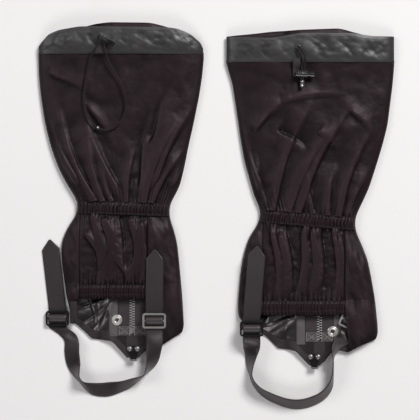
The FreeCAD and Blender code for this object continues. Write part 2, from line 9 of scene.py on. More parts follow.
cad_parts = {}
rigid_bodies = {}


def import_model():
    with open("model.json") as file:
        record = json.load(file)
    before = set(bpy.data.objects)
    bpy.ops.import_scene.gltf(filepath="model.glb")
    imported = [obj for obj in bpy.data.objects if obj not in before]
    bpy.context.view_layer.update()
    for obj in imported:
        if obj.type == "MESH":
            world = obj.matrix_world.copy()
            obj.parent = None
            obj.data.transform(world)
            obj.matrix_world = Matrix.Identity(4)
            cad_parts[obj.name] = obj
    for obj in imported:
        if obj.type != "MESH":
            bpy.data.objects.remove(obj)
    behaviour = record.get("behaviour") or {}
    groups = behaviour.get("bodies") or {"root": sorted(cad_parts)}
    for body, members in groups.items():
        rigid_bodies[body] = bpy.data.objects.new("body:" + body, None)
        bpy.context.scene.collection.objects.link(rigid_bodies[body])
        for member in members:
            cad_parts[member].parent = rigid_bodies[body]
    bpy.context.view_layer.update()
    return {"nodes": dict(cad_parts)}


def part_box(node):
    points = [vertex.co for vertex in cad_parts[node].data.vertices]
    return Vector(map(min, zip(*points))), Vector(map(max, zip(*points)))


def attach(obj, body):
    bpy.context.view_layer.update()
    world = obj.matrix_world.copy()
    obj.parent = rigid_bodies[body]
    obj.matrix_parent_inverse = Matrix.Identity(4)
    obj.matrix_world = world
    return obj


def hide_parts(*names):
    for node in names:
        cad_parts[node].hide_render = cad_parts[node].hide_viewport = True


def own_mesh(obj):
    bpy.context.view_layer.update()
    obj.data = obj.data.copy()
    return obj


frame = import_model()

bl_info = {
    "name": "Hiking gaiters",
    "version": (1, 0, 0),
    "blender": (4, 5, 0),
    "location": "3D View > Sidebar > Gaiters",
    "description": "Builds a pair of coated nylon gaiters on their measured frame",
    "category": "Add Mesh",
}

MM = 0.001
SIDES = ("left", "right")
# Height of the leg's side folds, and how the far layer is lifted over the zip and slopes down beside it.
FOLD_Z = 5 * MM
RAISE = 5.6 * MM
FLAT_HALF = 30 * MM
SLOPE_END = 48 * MM
STRAP_HALF = 12.5
EYELET_Z = 22.3
SIMULATED_SCALE = 10.0

# Main folds of the upper back cloth: start x, y, end x, y, height and half width, in millimetres.
CALF_FOLDS = {
    "left": [(-176, 24, -226, 150, 3.0, 7), (-163, 22, -186, 118, 3.2, 7), (-150, 22, -166, 70, 2.2, 5),
             (-128, 22, -118, 96, 2.0, 6), (-104, 22, -62, 130, 3.2, 7), (-92, 20, -46, 96, 2.6, 6),
             (-205, 60, -236, 128, 2.2, 6), (-146, 46, -196, 176, 1.9, 9), (-84, 60, -32, 158, 2.4, 7),
             (-178, 150, -142, 96, 1.6, 8), (-112, 60, -100, 150, -1.8, 8), (-228, 200, -170, 172, 1.3, 9),
             (-92, 120, -66, 196, -1.4, 9), (-60, 50, -40, 84, 2.2, 5)],
    "right": [(82, 12, 132, 158, 2.6, 7), (104, 8, 160, 124, 3.0, 7), (118, 4, 186, 150, 2.8, 7),
              (140, 2, 128, 76, 2.2, 6), (160, 0, 166, 66, 2.4, 6), (176, 0, 214, 112, 2.8, 6),
              (60, 52, 40, 120, 2.0, 6), (60, 130, 98, 168, 2.0, 8), (108, 168, 176, 176, 1.6, 8),
              (196, 148, 226, 120, 1.8, 7), (70, 24, 56, 84, 2.0, 5), (190, 8, 216, 62, 2.0, 5),
              (150, 118, 176, 100, 2.0, 7), (96, 120, 136, 96, -1.8, 8)],
}
# Main folds of the gathered ankle, given in the same way.
ANKLE_FOLDS = {
    "left": [(-176, -8, -168, -92, 3.0, 5), (-160, -12, -150, -60, 3.2, 6), (-184, -30, -164, -64, 2.4, 5),
             (-150, -50, -172, -96, 2.6, 5), (-136, -6, -134, -96, -1.3, 6), (-122, -12, -112, -70, 3.2, 6),
             (-110, -20, -126, -86, 2.4, 5), (-142, -64, -124, -96, 2.4, 5), (-104, -50, -108, -94, 2.0, 4)],
    "right": [(80, -30, 86, -116, 2.6, 5), (103, -28, 110, -118, -1.2, 6), (124, -30, 113, -118, 3.0, 5),
              (152, -30, 151, -118, -1.2, 6), (92, -36, 98, -100, 2.6, 5), (138, -32, 136, -112, 3.0, 6),
              (168, -30, 170, -118, 2.6, 5), (176, -40, 178, -110, 2.0, 4)],
}
# Main creases of the shiny far layer, given in the same way.
INSTEP_FOLDS = {
    "left": [(-152, -114, -206, -136, 3.6, 5), (-152, -126, -192, -158, 3.2, 4), (-172, -106, -206, -116, 2.6, 4),
             (-158, -138, -180, -172, 2.6, 4), (-186, -112, -172, -158, 2.2, 4), (-66, -120, -60, -170, 2.4, 5)],
    "right": [(96, -138, 42, -148, 3.4, 5), (98, -148, 60, -162, 2.8, 4), (112, -142, 80, -168, 2.6, 5),
              (204, -146, 190, -184, 3.2, 5), (218, -148, 208, -180, 2.6, 4), (76, -136, 66, -160, 2.2, 4)],
}
# Foot straps: low edge and high edge of the webbing, in millimetres, adjuster to adjuster.
STRAPS = {
    "left": [((-227, -170, 0.8), (-203, -169, 5)), ((-218.6, -180, 0.8), (-197.3, -180, 13.4)),
             ((-218.4, -195, 0.8), (-196.9, -195, 13.4)), ((-216.2, -210.2, 0.8), (-195.3, -210.2, 14.4)),
             ((-211.4, -221.7, 0.8), (-195.6, -216, 19.3)), ((-205.5, -229.5, 0.8), (-196, -223.1, 23)),
             ((-196.5, -239.5, 0.8), (-195.9, -230, 23.8)), ((-186.5, -251, 0.8), (-191.5, -236.5, 20.5)),
             ((-178, -257, 0.8), (-183.5, -238.8, 16.8)), ((-165, -259.3, 0.8), (-167.3, -239.2, 15.5)),
             ((-154, -258.7, 0.8), (-152.5, -238, 14.6)), ((-140, -254, 0.8), (-136.5, -236.4, 18)),
             ((-124, -246.5, 0.8), (-119.5, -232, 20.4)), ((-109.5, -234.5, 0.8), (-106, -228.5, 24.7)),
             ((-99.6, -225.5, 1.2), (-102, -222.5, 25.6)), ((-89, -216, 2), (-100.6, -214.5, 23.8)),
             ((-83, -206, 4), (-100.2, -205.5, 21.8)), ((-79.5, -193, 9), (-100.1, -193, 21)),
             ((-77, -180, 15), (-101, -180, 20)), ((-76.5, -170, 20), (-101.5, -170, 20.5))],
    "right": [((37.8, -181, 18.5), (62.6, -181, 20)), ((39, -190, 9), (61.5, -190, 19.5)),
              ((41.5, -202, 1.5), (56.8, -201.6, 21.2)), ((43, -215, 0.8), (52, -215.5, 24)),
              ((46.6, -225.5, 0.8), (50.5, -227.5, 25.3)), ((51.5, -240.5, 0.8), (55, -237.5, 25.3)),
              ((60, -253.1, 0.8), (64, -246, 24.4)), ((71, -262.5, 0.8), (75.5, -252, 23)),
              ((85.4, -269.7, 0.8), (88, -257, 22.2)), ((99.7, -275, 0.8), (101, -261, 21.5)),
              ((114, -277.2, 0.8), (114, -262.5, 21)), ((128.3, -275.7, 0.8), (126.5, -261, 21)),
              ((142.6, -270.8, 0.8), (138.5, -257, 21.2)), ((154.4, -263.7, 0.8), (148.5, -252, 22)),
              ((162.7, -254.5, 0.8), (156.5, -244, 22.6)), ((167, -244.1, 0.8), (161.8, -236, 23.9)),
              ((168, -230, 0.8), (165, -226, 25.3)), ((168, -213, 0.8), (166.2, -212.5, 25.7)),
              ((168.6, -204, 4.8), (165.6, -203, 29.4)), ((173, -194, 8.8), (164.5, -189, 31.6)),
              ((187, -184, 9.2), (168, -177, 23.8)), ((199, -176, 8.6), (176, -167.5, 9.8))],
}
# Adjusters: middle bar's centre and turn, then the tail's tip and its lean.
ADJUSTERS = {
    "left": [((-228.5, -147, 5.0), 0.0, (-240, -34, 1.2), 9.0), ((-89, -149.4, 25.4), 0.0, (-88.2, -48, 24.6), 0.0)],
    "right": [((50, -161, 24.6), 0.0, (58.2, -43, 24.2), -8.0), ((193, -152, 12.0), -24.0, (199, -66, 8.2), -6.0)],
}
# Middle line of each free cord, in millimetres, from the lock outwards.
CORD_ROUTES = {
    "left_cord": [(-163.4, 250.2, 30.2), (-176, 237, 30), (-181.5, 218, 26.5), (-186.5, 197, 24),
                  (-191, 162, 23.5), (-180.5, 133.5, 23.2), (-158, 119, 23.2), (-135.5, 133.5, 23.4),
                  (-127.5, 160, 23.6), (-133, 183, 24), (-144.5, 203, 24.4), (-155, 221, 26.8),
                  (-159.6, 237, 29.5), (-160.9, 249.1, 30.2)],
    "right_cord_a": [(118.6, 241, 27.5), (125.5, 231.5, 28.8), (127.2, 221, 28.4), (123.4, 207.5, 26.4),
                     (123.4, 194, 26.4)],
    "right_cord_b": [(114.6, 239.6, 27.5), (121, 230.5, 28.8), (123.2, 220, 28.4), (120.6, 207.5, 26.4),
                     (120.6, 194, 26.4)],
}


# ---------------------------------------------------------------- reading the frame

class Cut:
    """Flat cuts through solids of the frame."""

    def __init__(self, *names):
        found = []
        for name in names:
            mesh = frame["nodes"][name].data
            mesh.calc_loop_triangles()
            co = np.empty(len(mesh.vertices) * 3)
            mesh.vertices.foreach_get("co", co)
            corners = np.empty(len(mesh.loop_triangles) * 3, dtype=np.int32)
            mesh.loop_triangles.foreach_get("vertices", corners)
            found.append(co.reshape(-1, 3)[corners.reshape(-1, 3)])
        self.tris = np.concatenate(found)

    def at(self, axis, value):
        off = self.tris[:, :, axis] - (value + 1.3e-6)
        out = []
        for a, b in ((0, 1), (1, 2), (2, 0)):
            hit = off[:, a] * off[:, b] < 0
            share = off[hit, a] / (off[hit, a] - off[hit, b])
            out.append(self.tris[hit, a] + (self.tris[hit, b] - self.tris[hit, a]) * share[:, None])
        return np.concatenate(out)


def eased(values, passes):
    """Rounds the kinks of a measured outline without moving its ends."""
    out = np.array(values, float)
    for _ in range(passes):
        out[1:-1] = out[1:-1] * 0.5 + (out[:-2] + out[2:]) * 0.25
    return out


def arched(s):
    """Height of the lying leg across its width: 1 in the middle, 0 at the side folds."""
    return np.maximum(0, 1 - np.abs(s) ** 3.2) ** 0.42


def outward(points, side):
    """Turns the right half's grid over, so that both halves face the same way."""
    return points if side < 0 else points[:, ::-1]


class Leg:
    """The outlines of one gaiter, read from its solids."""

    def __init__(self, side):
        self.side = side
        n = side + "_"
        self.n = n
        box = {k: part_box(n + k) for k in ("band", "calf_back", "waist_casing", "ankle_back", "heel_casing",
                                          "ankle_sides", "instep", "zip_teeth", "zip_tapes", "facing", "flap")}
        self.box = box
        self.seam_y = box["band"][0][1]
        self.zip_x = (box["zip_teeth"][0][0] + box["zip_teeth"][1][0]) / 2
        self.seams = (box["ankle_back"][0][0], box["ankle_back"][1][0])
        self.heel = (box["heel_casing"][0][1], box["heel_casing"][1][1])
        self.low_y = box["ankle_sides"][0][1]
        hull = Cut(n + "band", n + "calf_back", n + "waist_casing", n + "ankle_sides")
        self.ys = np.linspace(self.low_y + 0.0005, self.seam_y + 0.006, 170)
        rows = [hull.at(1, y) for y in self.ys]
        centre = (box["calf_back"][0][0] + box["calf_back"][1][0]) / 2
        lefts = [r[:, 0].min() if r[:, 0].min() < centre - 0.03 else np.nan for r in rows]
        rights = [r[:, 0].max() for r in rows]
        lefts = np.array(lefts)
        good = ~np.isnan(lefts)
        lefts = np.interp(self.ys, self.ys[good], lefts[good])
        self.lefts = eased(lefts, 14)
        self.rights = eased(rights, 14)
        self.tops = eased([min(r[:, 2].max(), 0.0215) for r in rows], 10)
        waist = Cut(n + "waist_casing")
        a, b = self.seams
        at_a, at_b = waist.at(0, a + 0.01)[:, 1], waist.at(0, b - 0.01)[:, 1]
        span = (b - 0.01) - (a + 0.01)
        self.tilt = (at_b.max() - at_a.max()) / span
        mid = waist.at(0, (a + b) / 2)[:, 1]
        self.waist = (mid.min(), mid.max())
        self.band_cut = Cut(n + "band")
        self.instep_cut = Cut(n + "instep")
        self.facing_cut = Cut(n + "facing")
        self.sides_cut = Cut(n + "ankle_sides")
        self.roofs = {}

    def side_tops(self, side):
        """Height of the side panel's inner edge at each line up the leg."""
        if side not in self.roofs:
            middle = (self.seams[0] + self.seams[1]) / 2
            tops = []
            for y in self.ys:
                pts = self.sides_cut.at(1, y)
                pts = pts[(pts[:, 0] - middle) * side > 0]
                tops.append(pts[:, 2].max() if len(pts) else np.nan)
            tops = np.array(tops)
            good = ~np.isnan(tops)
            self.roofs[side] = eased(np.interp(self.ys, self.ys[good], tops[good]), 8)
        return self.roofs[side]

    def slope(self, t):
        return np.interp(t, [self.heel[1], self.waist[0], self.waist[1], self.waist[1] + 0.13],
                         [0, self.tilt, self.tilt, 0])

    def fold(self, t, side):
        return np.interp(t, self.ys, self.lefts if side < 0 else self.rights)

    def spot(self, u, t):
        """x, y and spread s of the point u across the leg (0 to 1) on the line t up the leg."""
        left, right = self.fold(t, -1), self.fold(t, 1)
        k = self.slope(t)
        half = (right - left) / 2
        y0, y1 = t - k * half, t + k * half
        x0, x1 = self.fold(y0, -1), self.fold(y1, 1)
        return x0 + (x1 - x0) * u, y0 + (y1 - y0) * u, 2 * u - 1

    def arch(self, s, t, drop=0.0):
        top = np.interp(t, self.ys, self.tops) - drop
        return FOLD_Z + (top - FOLD_Z) * arched(s)

    def front_z(self, x):
        """Height of the lower layer's inner face: flat on the ground, lifted over the zip."""
        away = np.abs(x - self.zip_x)
        lift = RAISE * np.clip((SLOPE_END - away) / (SLOPE_END - FLAT_HALF), 0, 1)
        return lift + 0.4 * MM

    def edge(self, cut, x, low=None, high=None, top=True, fallback=None):
        """Highest or lowest y of a cut solid at x, between two heights."""
        pts = cut.at(0, x)
        if low is not None:
            pts = pts[pts[:, 2] > low]
        if high is not None:
            pts = pts[pts[:, 2] < high]
        if not len(pts):
            return fallback
        return pts[:, 1].max() if top else pts[:, 1].min()


class Pleats:
    """Uneven gathers across a width of 1: how far each stands out and how far it runs on."""

    def __init__(self, count, seed):
        rng = random.Random(seed)
        widths = [0.65 + 0.8 * rng.random() for _ in range(count)]
        total = sum(widths)
        self.edges = np.concatenate([[0], np.cumsum(widths) / total])
        self.height = np.array([0.6 + 0.55 * rng.random() for _ in range(count)])
        self.reach = np.array([rng.random() ** 2 for _ in range(count)])
        self.count = count

    def split(self, u):
        u = np.clip(u, 0, 1 - 1e-9)
        i = np.clip(np.searchsorted(self.edges, u, side="right") - 1, 0, self.count - 1)
        f = (u - self.edges[i]) / (self.edges[i + 1] - self.edges[i])
        return i, f

    def rise(self, u):
        i, f = self.split(u)
        return self.height[i] * np.sin(math.pi * f) ** 0.7 - 0.45

    def run(self, u, away, short, long):
        """The same rise, fading with distance from the gathering line."""
        i, f = self.split(u)
        reach = short + (long - short) * self.reach[i]
        return (self.height[i] * np.sin(math.pi * f) ** 0.8 - 0.4) * np.exp(-(away / reach) ** 1.3)


def ripple(x, y, size, seed, octaves=3):
    """Smooth noise, about -1 to 1, with features of one size in metres."""
    out = np.zeros(np.shape(x))
    flat = out.ravel()
    for i, (a, b) in enumerate(zip(np.ravel(x), np.ravel(y))):
        flat[i] = noise.fractal(Vector((a / size, b / size, seed * 7.3)), 0.8, 2.1, octaves)
    return flat.reshape(np.shape(x))


def fold_height(x, y, folds):
    """Ridges and hollows along short lines, rounded across and fading to their far ends."""
    out = np.zeros(np.shape(x))
    for x0, y0, x1, y1, high, half in folds:
        a = np.array([x0, y0]) * MM
        d = np.array([x1, y1]) * MM - a
        length = math.hypot(*d)
        d = d / length
        along = ((x - a[0]) * d[0] + (y - a[1]) * d[1]) / length
        bow = 0.05 * length * np.sin(math.pi * np.clip(along, 0, 1))
        across = (x - a[0]) * -d[1] + (y - a[1]) * d[0] - bow
        width = half * MM * (0.6 + 0.7 * np.clip(along, 0, 1))
        fade = np.clip(1.15 - np.clip(along, 0, 2), 0, 1) ** 0.8 * np.clip(along * 6 + 1.4, 0, 1)
        near = across / width
        gentle, steep = np.exp(-(np.maximum(near, 0) / 1.9) ** 1.25), np.exp(-(np.minimum(near, 0) * 1.7) ** 2)
        out += high * MM * fade * np.where(near > 0, gentle, steep)
    return out


# ---------------------------------------------------------------- meshes

def link(ob):
    bpy.context.scene.collection.objects.link(ob)
    return ob


def mesh_object(name, verts, faces, material, smooth=True, uvs=None):
    mesh = bpy.data.meshes.new(name)
    mesh.from_pydata([tuple(map(float, v)) for v in verts], [], [tuple(map(int, f)) for f in faces])
    if material is not None:
        mesh.materials.append(material)
    if uvs is not None:
        layer = mesh.uv_layers.new(name="cloth")
        index = np.empty(len(mesh.loops), dtype=np.int32)
        mesh.loops.foreach_get("vertex_index", index)
        layer.data.foreach_set("uv", np.asarray(uvs, float)[index].ravel())
    mesh.polygons.foreach_set("use_smooth", [smooth] * len(mesh.polygons))
    mesh.update()
    return link(bpy.data.objects.new(name, mesh))


def grid_faces(rows, cols):
    i, j = np.meshgrid(np.arange(rows - 1), np.arange(cols - 1), indexing="ij")
    a = (i * cols + j).ravel()
    return np.stack([a, a + 1, a + cols + 1, a + cols], axis=1)


def cloth_uv(points):
    """Flat cloth coordinates in metres, from distances across and up the middle of a grid."""
    across = np.linalg.norm(np.diff(points, axis=1), axis=2).mean(axis=0)
    up = np.linalg.norm(np.diff(points, axis=0), axis=2).mean(axis=1)
    u = np.concatenate([[0], np.cumsum(across)])
    v = np.concatenate([[0], np.cumsum(up)])
    uu, vv = np.meshgrid(u, v)
    return np.stack([uu.ravel(), vv.ravel()], axis=1)


def crease_depth(points):
    """How far each point of a grid stands above (+1) or below (-1) the cloth around it, near and farther off; the
    cloth finishes turn it into painted shade in creases and painted light on ridges.
    """
    depth = np.zeros(points.shape[:2])
    for reach, size in ((7, 0.8 * MM), (18, 1.8 * MM)):
        level = points[..., 2].copy()
        for axis in (0, 1):
            if level.shape[axis] < 3 * reach:
                continue
            margin = [(0, 0), (0, 0)]
            margin[axis] = (reach + 1, reach)
            total = np.cumsum(np.pad(level, margin, mode="reflect"), axis=axis)
            count = points.shape[axis]
            step = 2 * reach + 1
            level = (np.take(total, range(step, step + count), axis) - np.take(total, range(count), axis)) / step
        depth += 0.6 * np.clip((points[..., 2] - level) / size, -1, 1)
    return np.clip(depth, -1, 1)


def sheet_object(name, points, material, thick=0.0):
    """One grid of points as cloth, with its flat coordinates and its crease depth for painted fold shade; thickened
    here or after joining.
    """
    rows, cols = points.shape[:2]
    ob = mesh_object(name, points.reshape(-1, 3), grid_faces(rows, cols), material, uvs=cloth_uv(points))
    # Crease depth, from which the cloth finishes paint shade into hollows and light onto ridges.
    depth = ob.data.attributes.new("crease_depth", "FLOAT", "POINT")
    depth.data.foreach_set("value", crease_depth(points).ravel().astype(np.float32))
    if thick:
        thicken(ob, thick)
    return ob


def cloth_wall():
    return bpy.context.scene.gaiter_settings.cloth_thickness


def thicken(ob, thick, offset=-1.0):
    mod = ob.modifiers.new("Cloth thickness", "SOLIDIFY")
    mod.thickness = thick
    mod.offset = offset
    mod.use_even_offset = False
    return mod


def join(name, obs):
    """Makes several plain meshes one object."""
    bpy.ops.object.select_all(action="DESELECT")
    for ob in obs:
        ob.select_set(True)
    bpy.context.view_layer.objects.active = obs[0]
    bpy.ops.object.join()
    obs[0].name = name
    obs[0].data.name = name
    return obs[0]


def baked(ob):
    """Turns an object with modifiers into a plain mesh object of the same name."""
    depsgraph = bpy.context.evaluated_depsgraph_get()
    mesh = bpy.data.meshes.new_from_object(ob.evaluated_get(depsgraph))
    name = ob.name
    old = ob.data
    bpy.data.objects.remove(ob)
    if hasattr(old, "polygons") and old.users == 0:
        bpy.data.meshes.remove(old)
    out = bpy.data.objects.new(name, mesh)
    mesh.name = name
    return link(out)


def sewn_border(shape):
    """Marks of 1 round the edge of a grid, where the cloth is held."""
    pins = np.zeros(shape)
    pins[0] = pins[-1] = pins[:, 0] = pins[:, -1] = 1
    return pins


def settle(name, start, cut, pins, frames, bend):
    """Lets cloth find its folds: simulated enlarged, from start towards the size it was cut to."""
    rows, cols = start.shape[:2]
    ob = mesh_object(name, (start * SIMULATED_SCALE).reshape(-1, 3), grid_faces(rows, cols), None)
    ob.shape_key_add(name="Basis")
    key = ob.shape_key_add(name="cut")
    key.data.foreach_set("co", (cut * SIMULATED_SCALE).ravel())
    group = ob.vertex_groups.new(name="sewn")
    group.add([int(i) for i in np.flatnonzero(pins.ravel())], 1.0, "REPLACE")
    mod = ob.modifiers.new("Cloth", "CLOTH")
    s = mod.settings
    s.quality = 5
    s.mass = 0.35
    s.tension_stiffness = 25
    s.compression_stiffness = 25
    s.shear_stiffness = 12
    s.bending_stiffness = bend
    s.tension_damping = 12
    s.compression_damping = 12
    s.shear_damping = 10
    s.bending_damping = 1.0
    s.air_damping = 3.0
    s.vertex_group_mass = "sewn"
    s.rest_shape_key = key
    s.effector_weights.gravity = 0.0
    mod.collision_settings.use_collision = False
    mod.point_cache.frame_start = 1
    mod.point_cache.frame_end = frames
    scene = bpy.context.scene
    for step in range(1, frames + 1):
        scene.frame_set(step)
    depsgraph = bpy.context.evaluated_depsgraph_get()
    mesh = ob.evaluated_get(depsgraph).to_mesh()
    co = np.empty(len(mesh.vertices) * 3)
    mesh.vertices.foreach_get("co", co)
    ob.evaluated_get(depsgraph).to_mesh_clear()
    data = ob.data
    bpy.data.objects.remove(ob)
    bpy.data.meshes.remove(data)
    scene.frame_set(1)
    return co.reshape(rows, cols, 3) / SIMULATED_SCALE


def refine(points, factor):
    """Resamples a grid along smooth curves through its points."""
    def along(a):
        n = len(a)
        x = np.linspace(0, n - 1, (n - 1) * factor + 1)
        i = np.minimum(x.astype(int), n - 2)
        f = (x - i).reshape(-1, *[1] * (a.ndim - 1))
        before, one, two, after = a[np.maximum(i - 1, 0)], a[i], a[i + 1], a[np.minimum(i + 2, n - 1)]
        return one + 0.5 * f * (two - before + f * (2 * before - 5 * one + 4 * two - after
                                                    + f * (3 * (one - two) + after - before)))
    rows = along(points)
    return along(rows.transpose(1, 0, 2)).transpose(1, 0, 2)


def normals(points):
    """Directions that stand out of a grid."""
    across = np.gradient(points, axis=1)
    up = np.gradient(points, axis=0)
    n = np.cross(across, up)
    return n / np.maximum(np.linalg.norm(n, axis=2, keepdims=True), 1e-12)


def held(z, low, high, soft=1.6 * MM):
    """Keeps heights between two limits without a hard crease."""
    z = high - soft * np.logaddexp(0, (high - z) / soft)
    return low + soft * np.logaddexp(0, (z - low) / soft)


def spread(count, bunch=0.6):
    """Places across the leg from -1 to 1, closer together towards the side folds."""
    v = np.linspace(-1, 1, count)
    return (1 - bunch) * v + bunch * np.sin(v * math.pi / 2)


def over_leg(leg, t, s, drop=0.0):
    """Points of the near layer for rows t up the leg and places s across it."""
    tt, ss = np.meshgrid(t, s, indexing="ij")
    x, y, _ = leg.spot((ss + 1) / 2, tt)
    return np.stack([x, y, leg.arch(ss, y, drop)], axis=2)


# ---------------------------------------------------------------- materials

def srgb(code):
    """Linear colour of an sRGB hex value."""
    out = []
    for i in (0, 2, 4):
        c = int(code[i:i + 2], 16) / 255
        out.append(c / 12.92 if c <= 0.04045 else ((c + 0.055) / 1.055) ** 2.4)
    return (*out, 1.0)


def node(tree, kind, values=None, **settings):
    """Adds a node with its settings, its values and its links."""
    made = tree.nodes.new(kind)
    for key, value in settings.items():
        setattr(made, key, value)
    for key, value in (values or {}).items():
        if isinstance(value, bpy.types.NodeSocket):
            tree.links.new(value, made.inputs[key])
        else:
            made.inputs[key].default_value = value
    return made


def new_material(name):
    mat = bpy.data.materials.new(name)
    mat.use_nodes = True
    mat.node_tree.nodes.clear()
    return mat, mat.node_tree


def finish_material(tree, shader):
    node(tree, "ShaderNodeOutputMaterial", {"Surface": shader.outputs[0]})


def tone(tree, place, dark, light, scale, detail=4.0):
    """Colour that drifts between two close tones over the piece."""
    drift = node(tree, "ShaderNodeTexNoise", {"Vector": place, "Scale": scale, "Detail": detail})
    mix = node(tree, "ShaderNodeMix", {"Factor": drift.outputs["Fac"]}, data_type="RGBA")
    mix.inputs[6].default_value = srgb(dark)
    mix.inputs[7].default_value = srgb(light)
    return mix.outputs[2]


def cloth_material(name, dark, light, rough, coat=0.0, coat_rough=0.3, sheen=0.0, spec=0.5, crease=0.5,
                   crease_size=38.0, weave=0.35, weave_pitch=0.4, ribs=False, tint="ffeef2", valley_shade=0.3):
    """Woven, coated cloth: drifting tone, soft crumple, weave, and painted shade in creases with painted light on
    ridges.
    """
    mat, tree = new_material(name)
    where = node(tree, "ShaderNodeTexCoord")
    place, flat = where.outputs["Object"], where.outputs["UV"]
    crumple = node(tree, "ShaderNodeTexNoise",
                   {"Vector": place, "Scale": crease_size, "Detail": 5.0, "Roughness": 0.5, "Distortion": 0.8},
                   noise_type="RIDGED_MULTIFRACTAL")
    first = node(tree, "ShaderNodeBump", {"Height": crumple.outputs["Fac"], "Strength": crease,
                                          "Distance": 0.5 * MM})
    scale = 0.31416 / (weave_pitch * MM)
    lengthways = node(tree, "ShaderNodeTexWave", {"Vector": flat, "Scale": scale}, bands_direction="Y")
    height = lengthways.outputs["Fac"]
    if not ribs:
        sideways = node(tree, "ShaderNodeTexWave", {"Vector": flat, "Scale": scale}, bands_direction="X")
        height = node(tree, "ShaderNodeMath", {0: height, 1: sideways.outputs["Fac"]}, operation="MAXIMUM").outputs[0]
    second = node(tree, "ShaderNodeBump", {"Height": height, "Strength": weave, "Distance": 0.06 * MM,
                                           "Normal": first.outputs[0]})
    gloss = node(tree, "ShaderNodeTexNoise", {"Vector": place, "Scale": 22.0, "Detail": 3.0})
    span = node(tree, "ShaderNodeMapRange", {"Value": gloss.outputs["Fac"], "To Min": rough - 0.05,
                                             "To Max": rough + 0.07})
    # Painted fold shade: crease depth darkens the base colour in hollows and lightens it on ridges.
    depth = node(tree, "ShaderNodeAttribute", attribute_name="crease_depth")
    painted_fold_shade = node(tree, "ShaderNodeMapRange", {"Value": depth.outputs["Fac"], "From Min": -1.0, "From Max": 1.0,
                                             "To Min": valley_shade, "To Max": 2.0 - valley_shade * 1.6})
    colour = node(tree, "ShaderNodeMix", {0: 1.0, 6: tone(tree, place, dark, light, 16.0), 7: painted_fold_shade.outputs[0]},
                  data_type="RGBA", blend_type="MULTIPLY")
    shader = node(tree, "ShaderNodeBsdfPrincipled", {
        "Base Color": colour.outputs[2], "Roughness": span.outputs[0],
        "Specular IOR Level": spec, "Specular Tint": srgb(tint), "Coat Weight": coat, "Coat Roughness": coat_rough,
        "Sheen Weight": sheen, "Sheen Roughness": 0.45, "Normal": second.outputs[0]})
    finish_material(tree, shader)
    return mat


def hard_material(name, dark, light, rough, metal=0.0, coat=0.0, grain=90.0, bump=0.15, aniso=0.0, stretch=1.0):
    """Metal or plastic: slightly uneven gloss, fine marks and an optional coat."""
    mat, tree = new_material(name)
    where = node(tree, "ShaderNodeTexCoord").outputs["Object"]
    drawn = node(tree, "ShaderNodeMapping", {"Vector": where, "Scale": (stretch, 1.0, 1.0)})
    wear = node(tree, "ShaderNodeTexNoise", {"Vector": drawn.outputs[0], "Scale": grain * 8, "Detail": 3.0})
    handled = node(tree, "ShaderNodeTexNoise", {"Vector": where, "Scale": grain, "Detail": 4.0})
    span = node(tree, "ShaderNodeMapRange", {"Value": handled.outputs["Fac"], "To Min": rough * 0.75,
                                             "To Max": rough * 1.35})
    dent = node(tree, "ShaderNodeBump", {"Height": wear.outputs["Fac"], "Strength": bump, "Distance": 0.04 * MM})
    shader = node(tree, "ShaderNodeBsdfPrincipled", {
        "Base Color": tone(tree, where, dark, light, grain), "Metallic": metal, "Roughness": span.outputs[0],
        "Coat Weight": coat, "Coat Roughness": 0.12, "Anisotropic": aniso, "Normal": dent.outputs[0]})
    finish_material(tree, shader)
    return mat


MATERIALS = {}


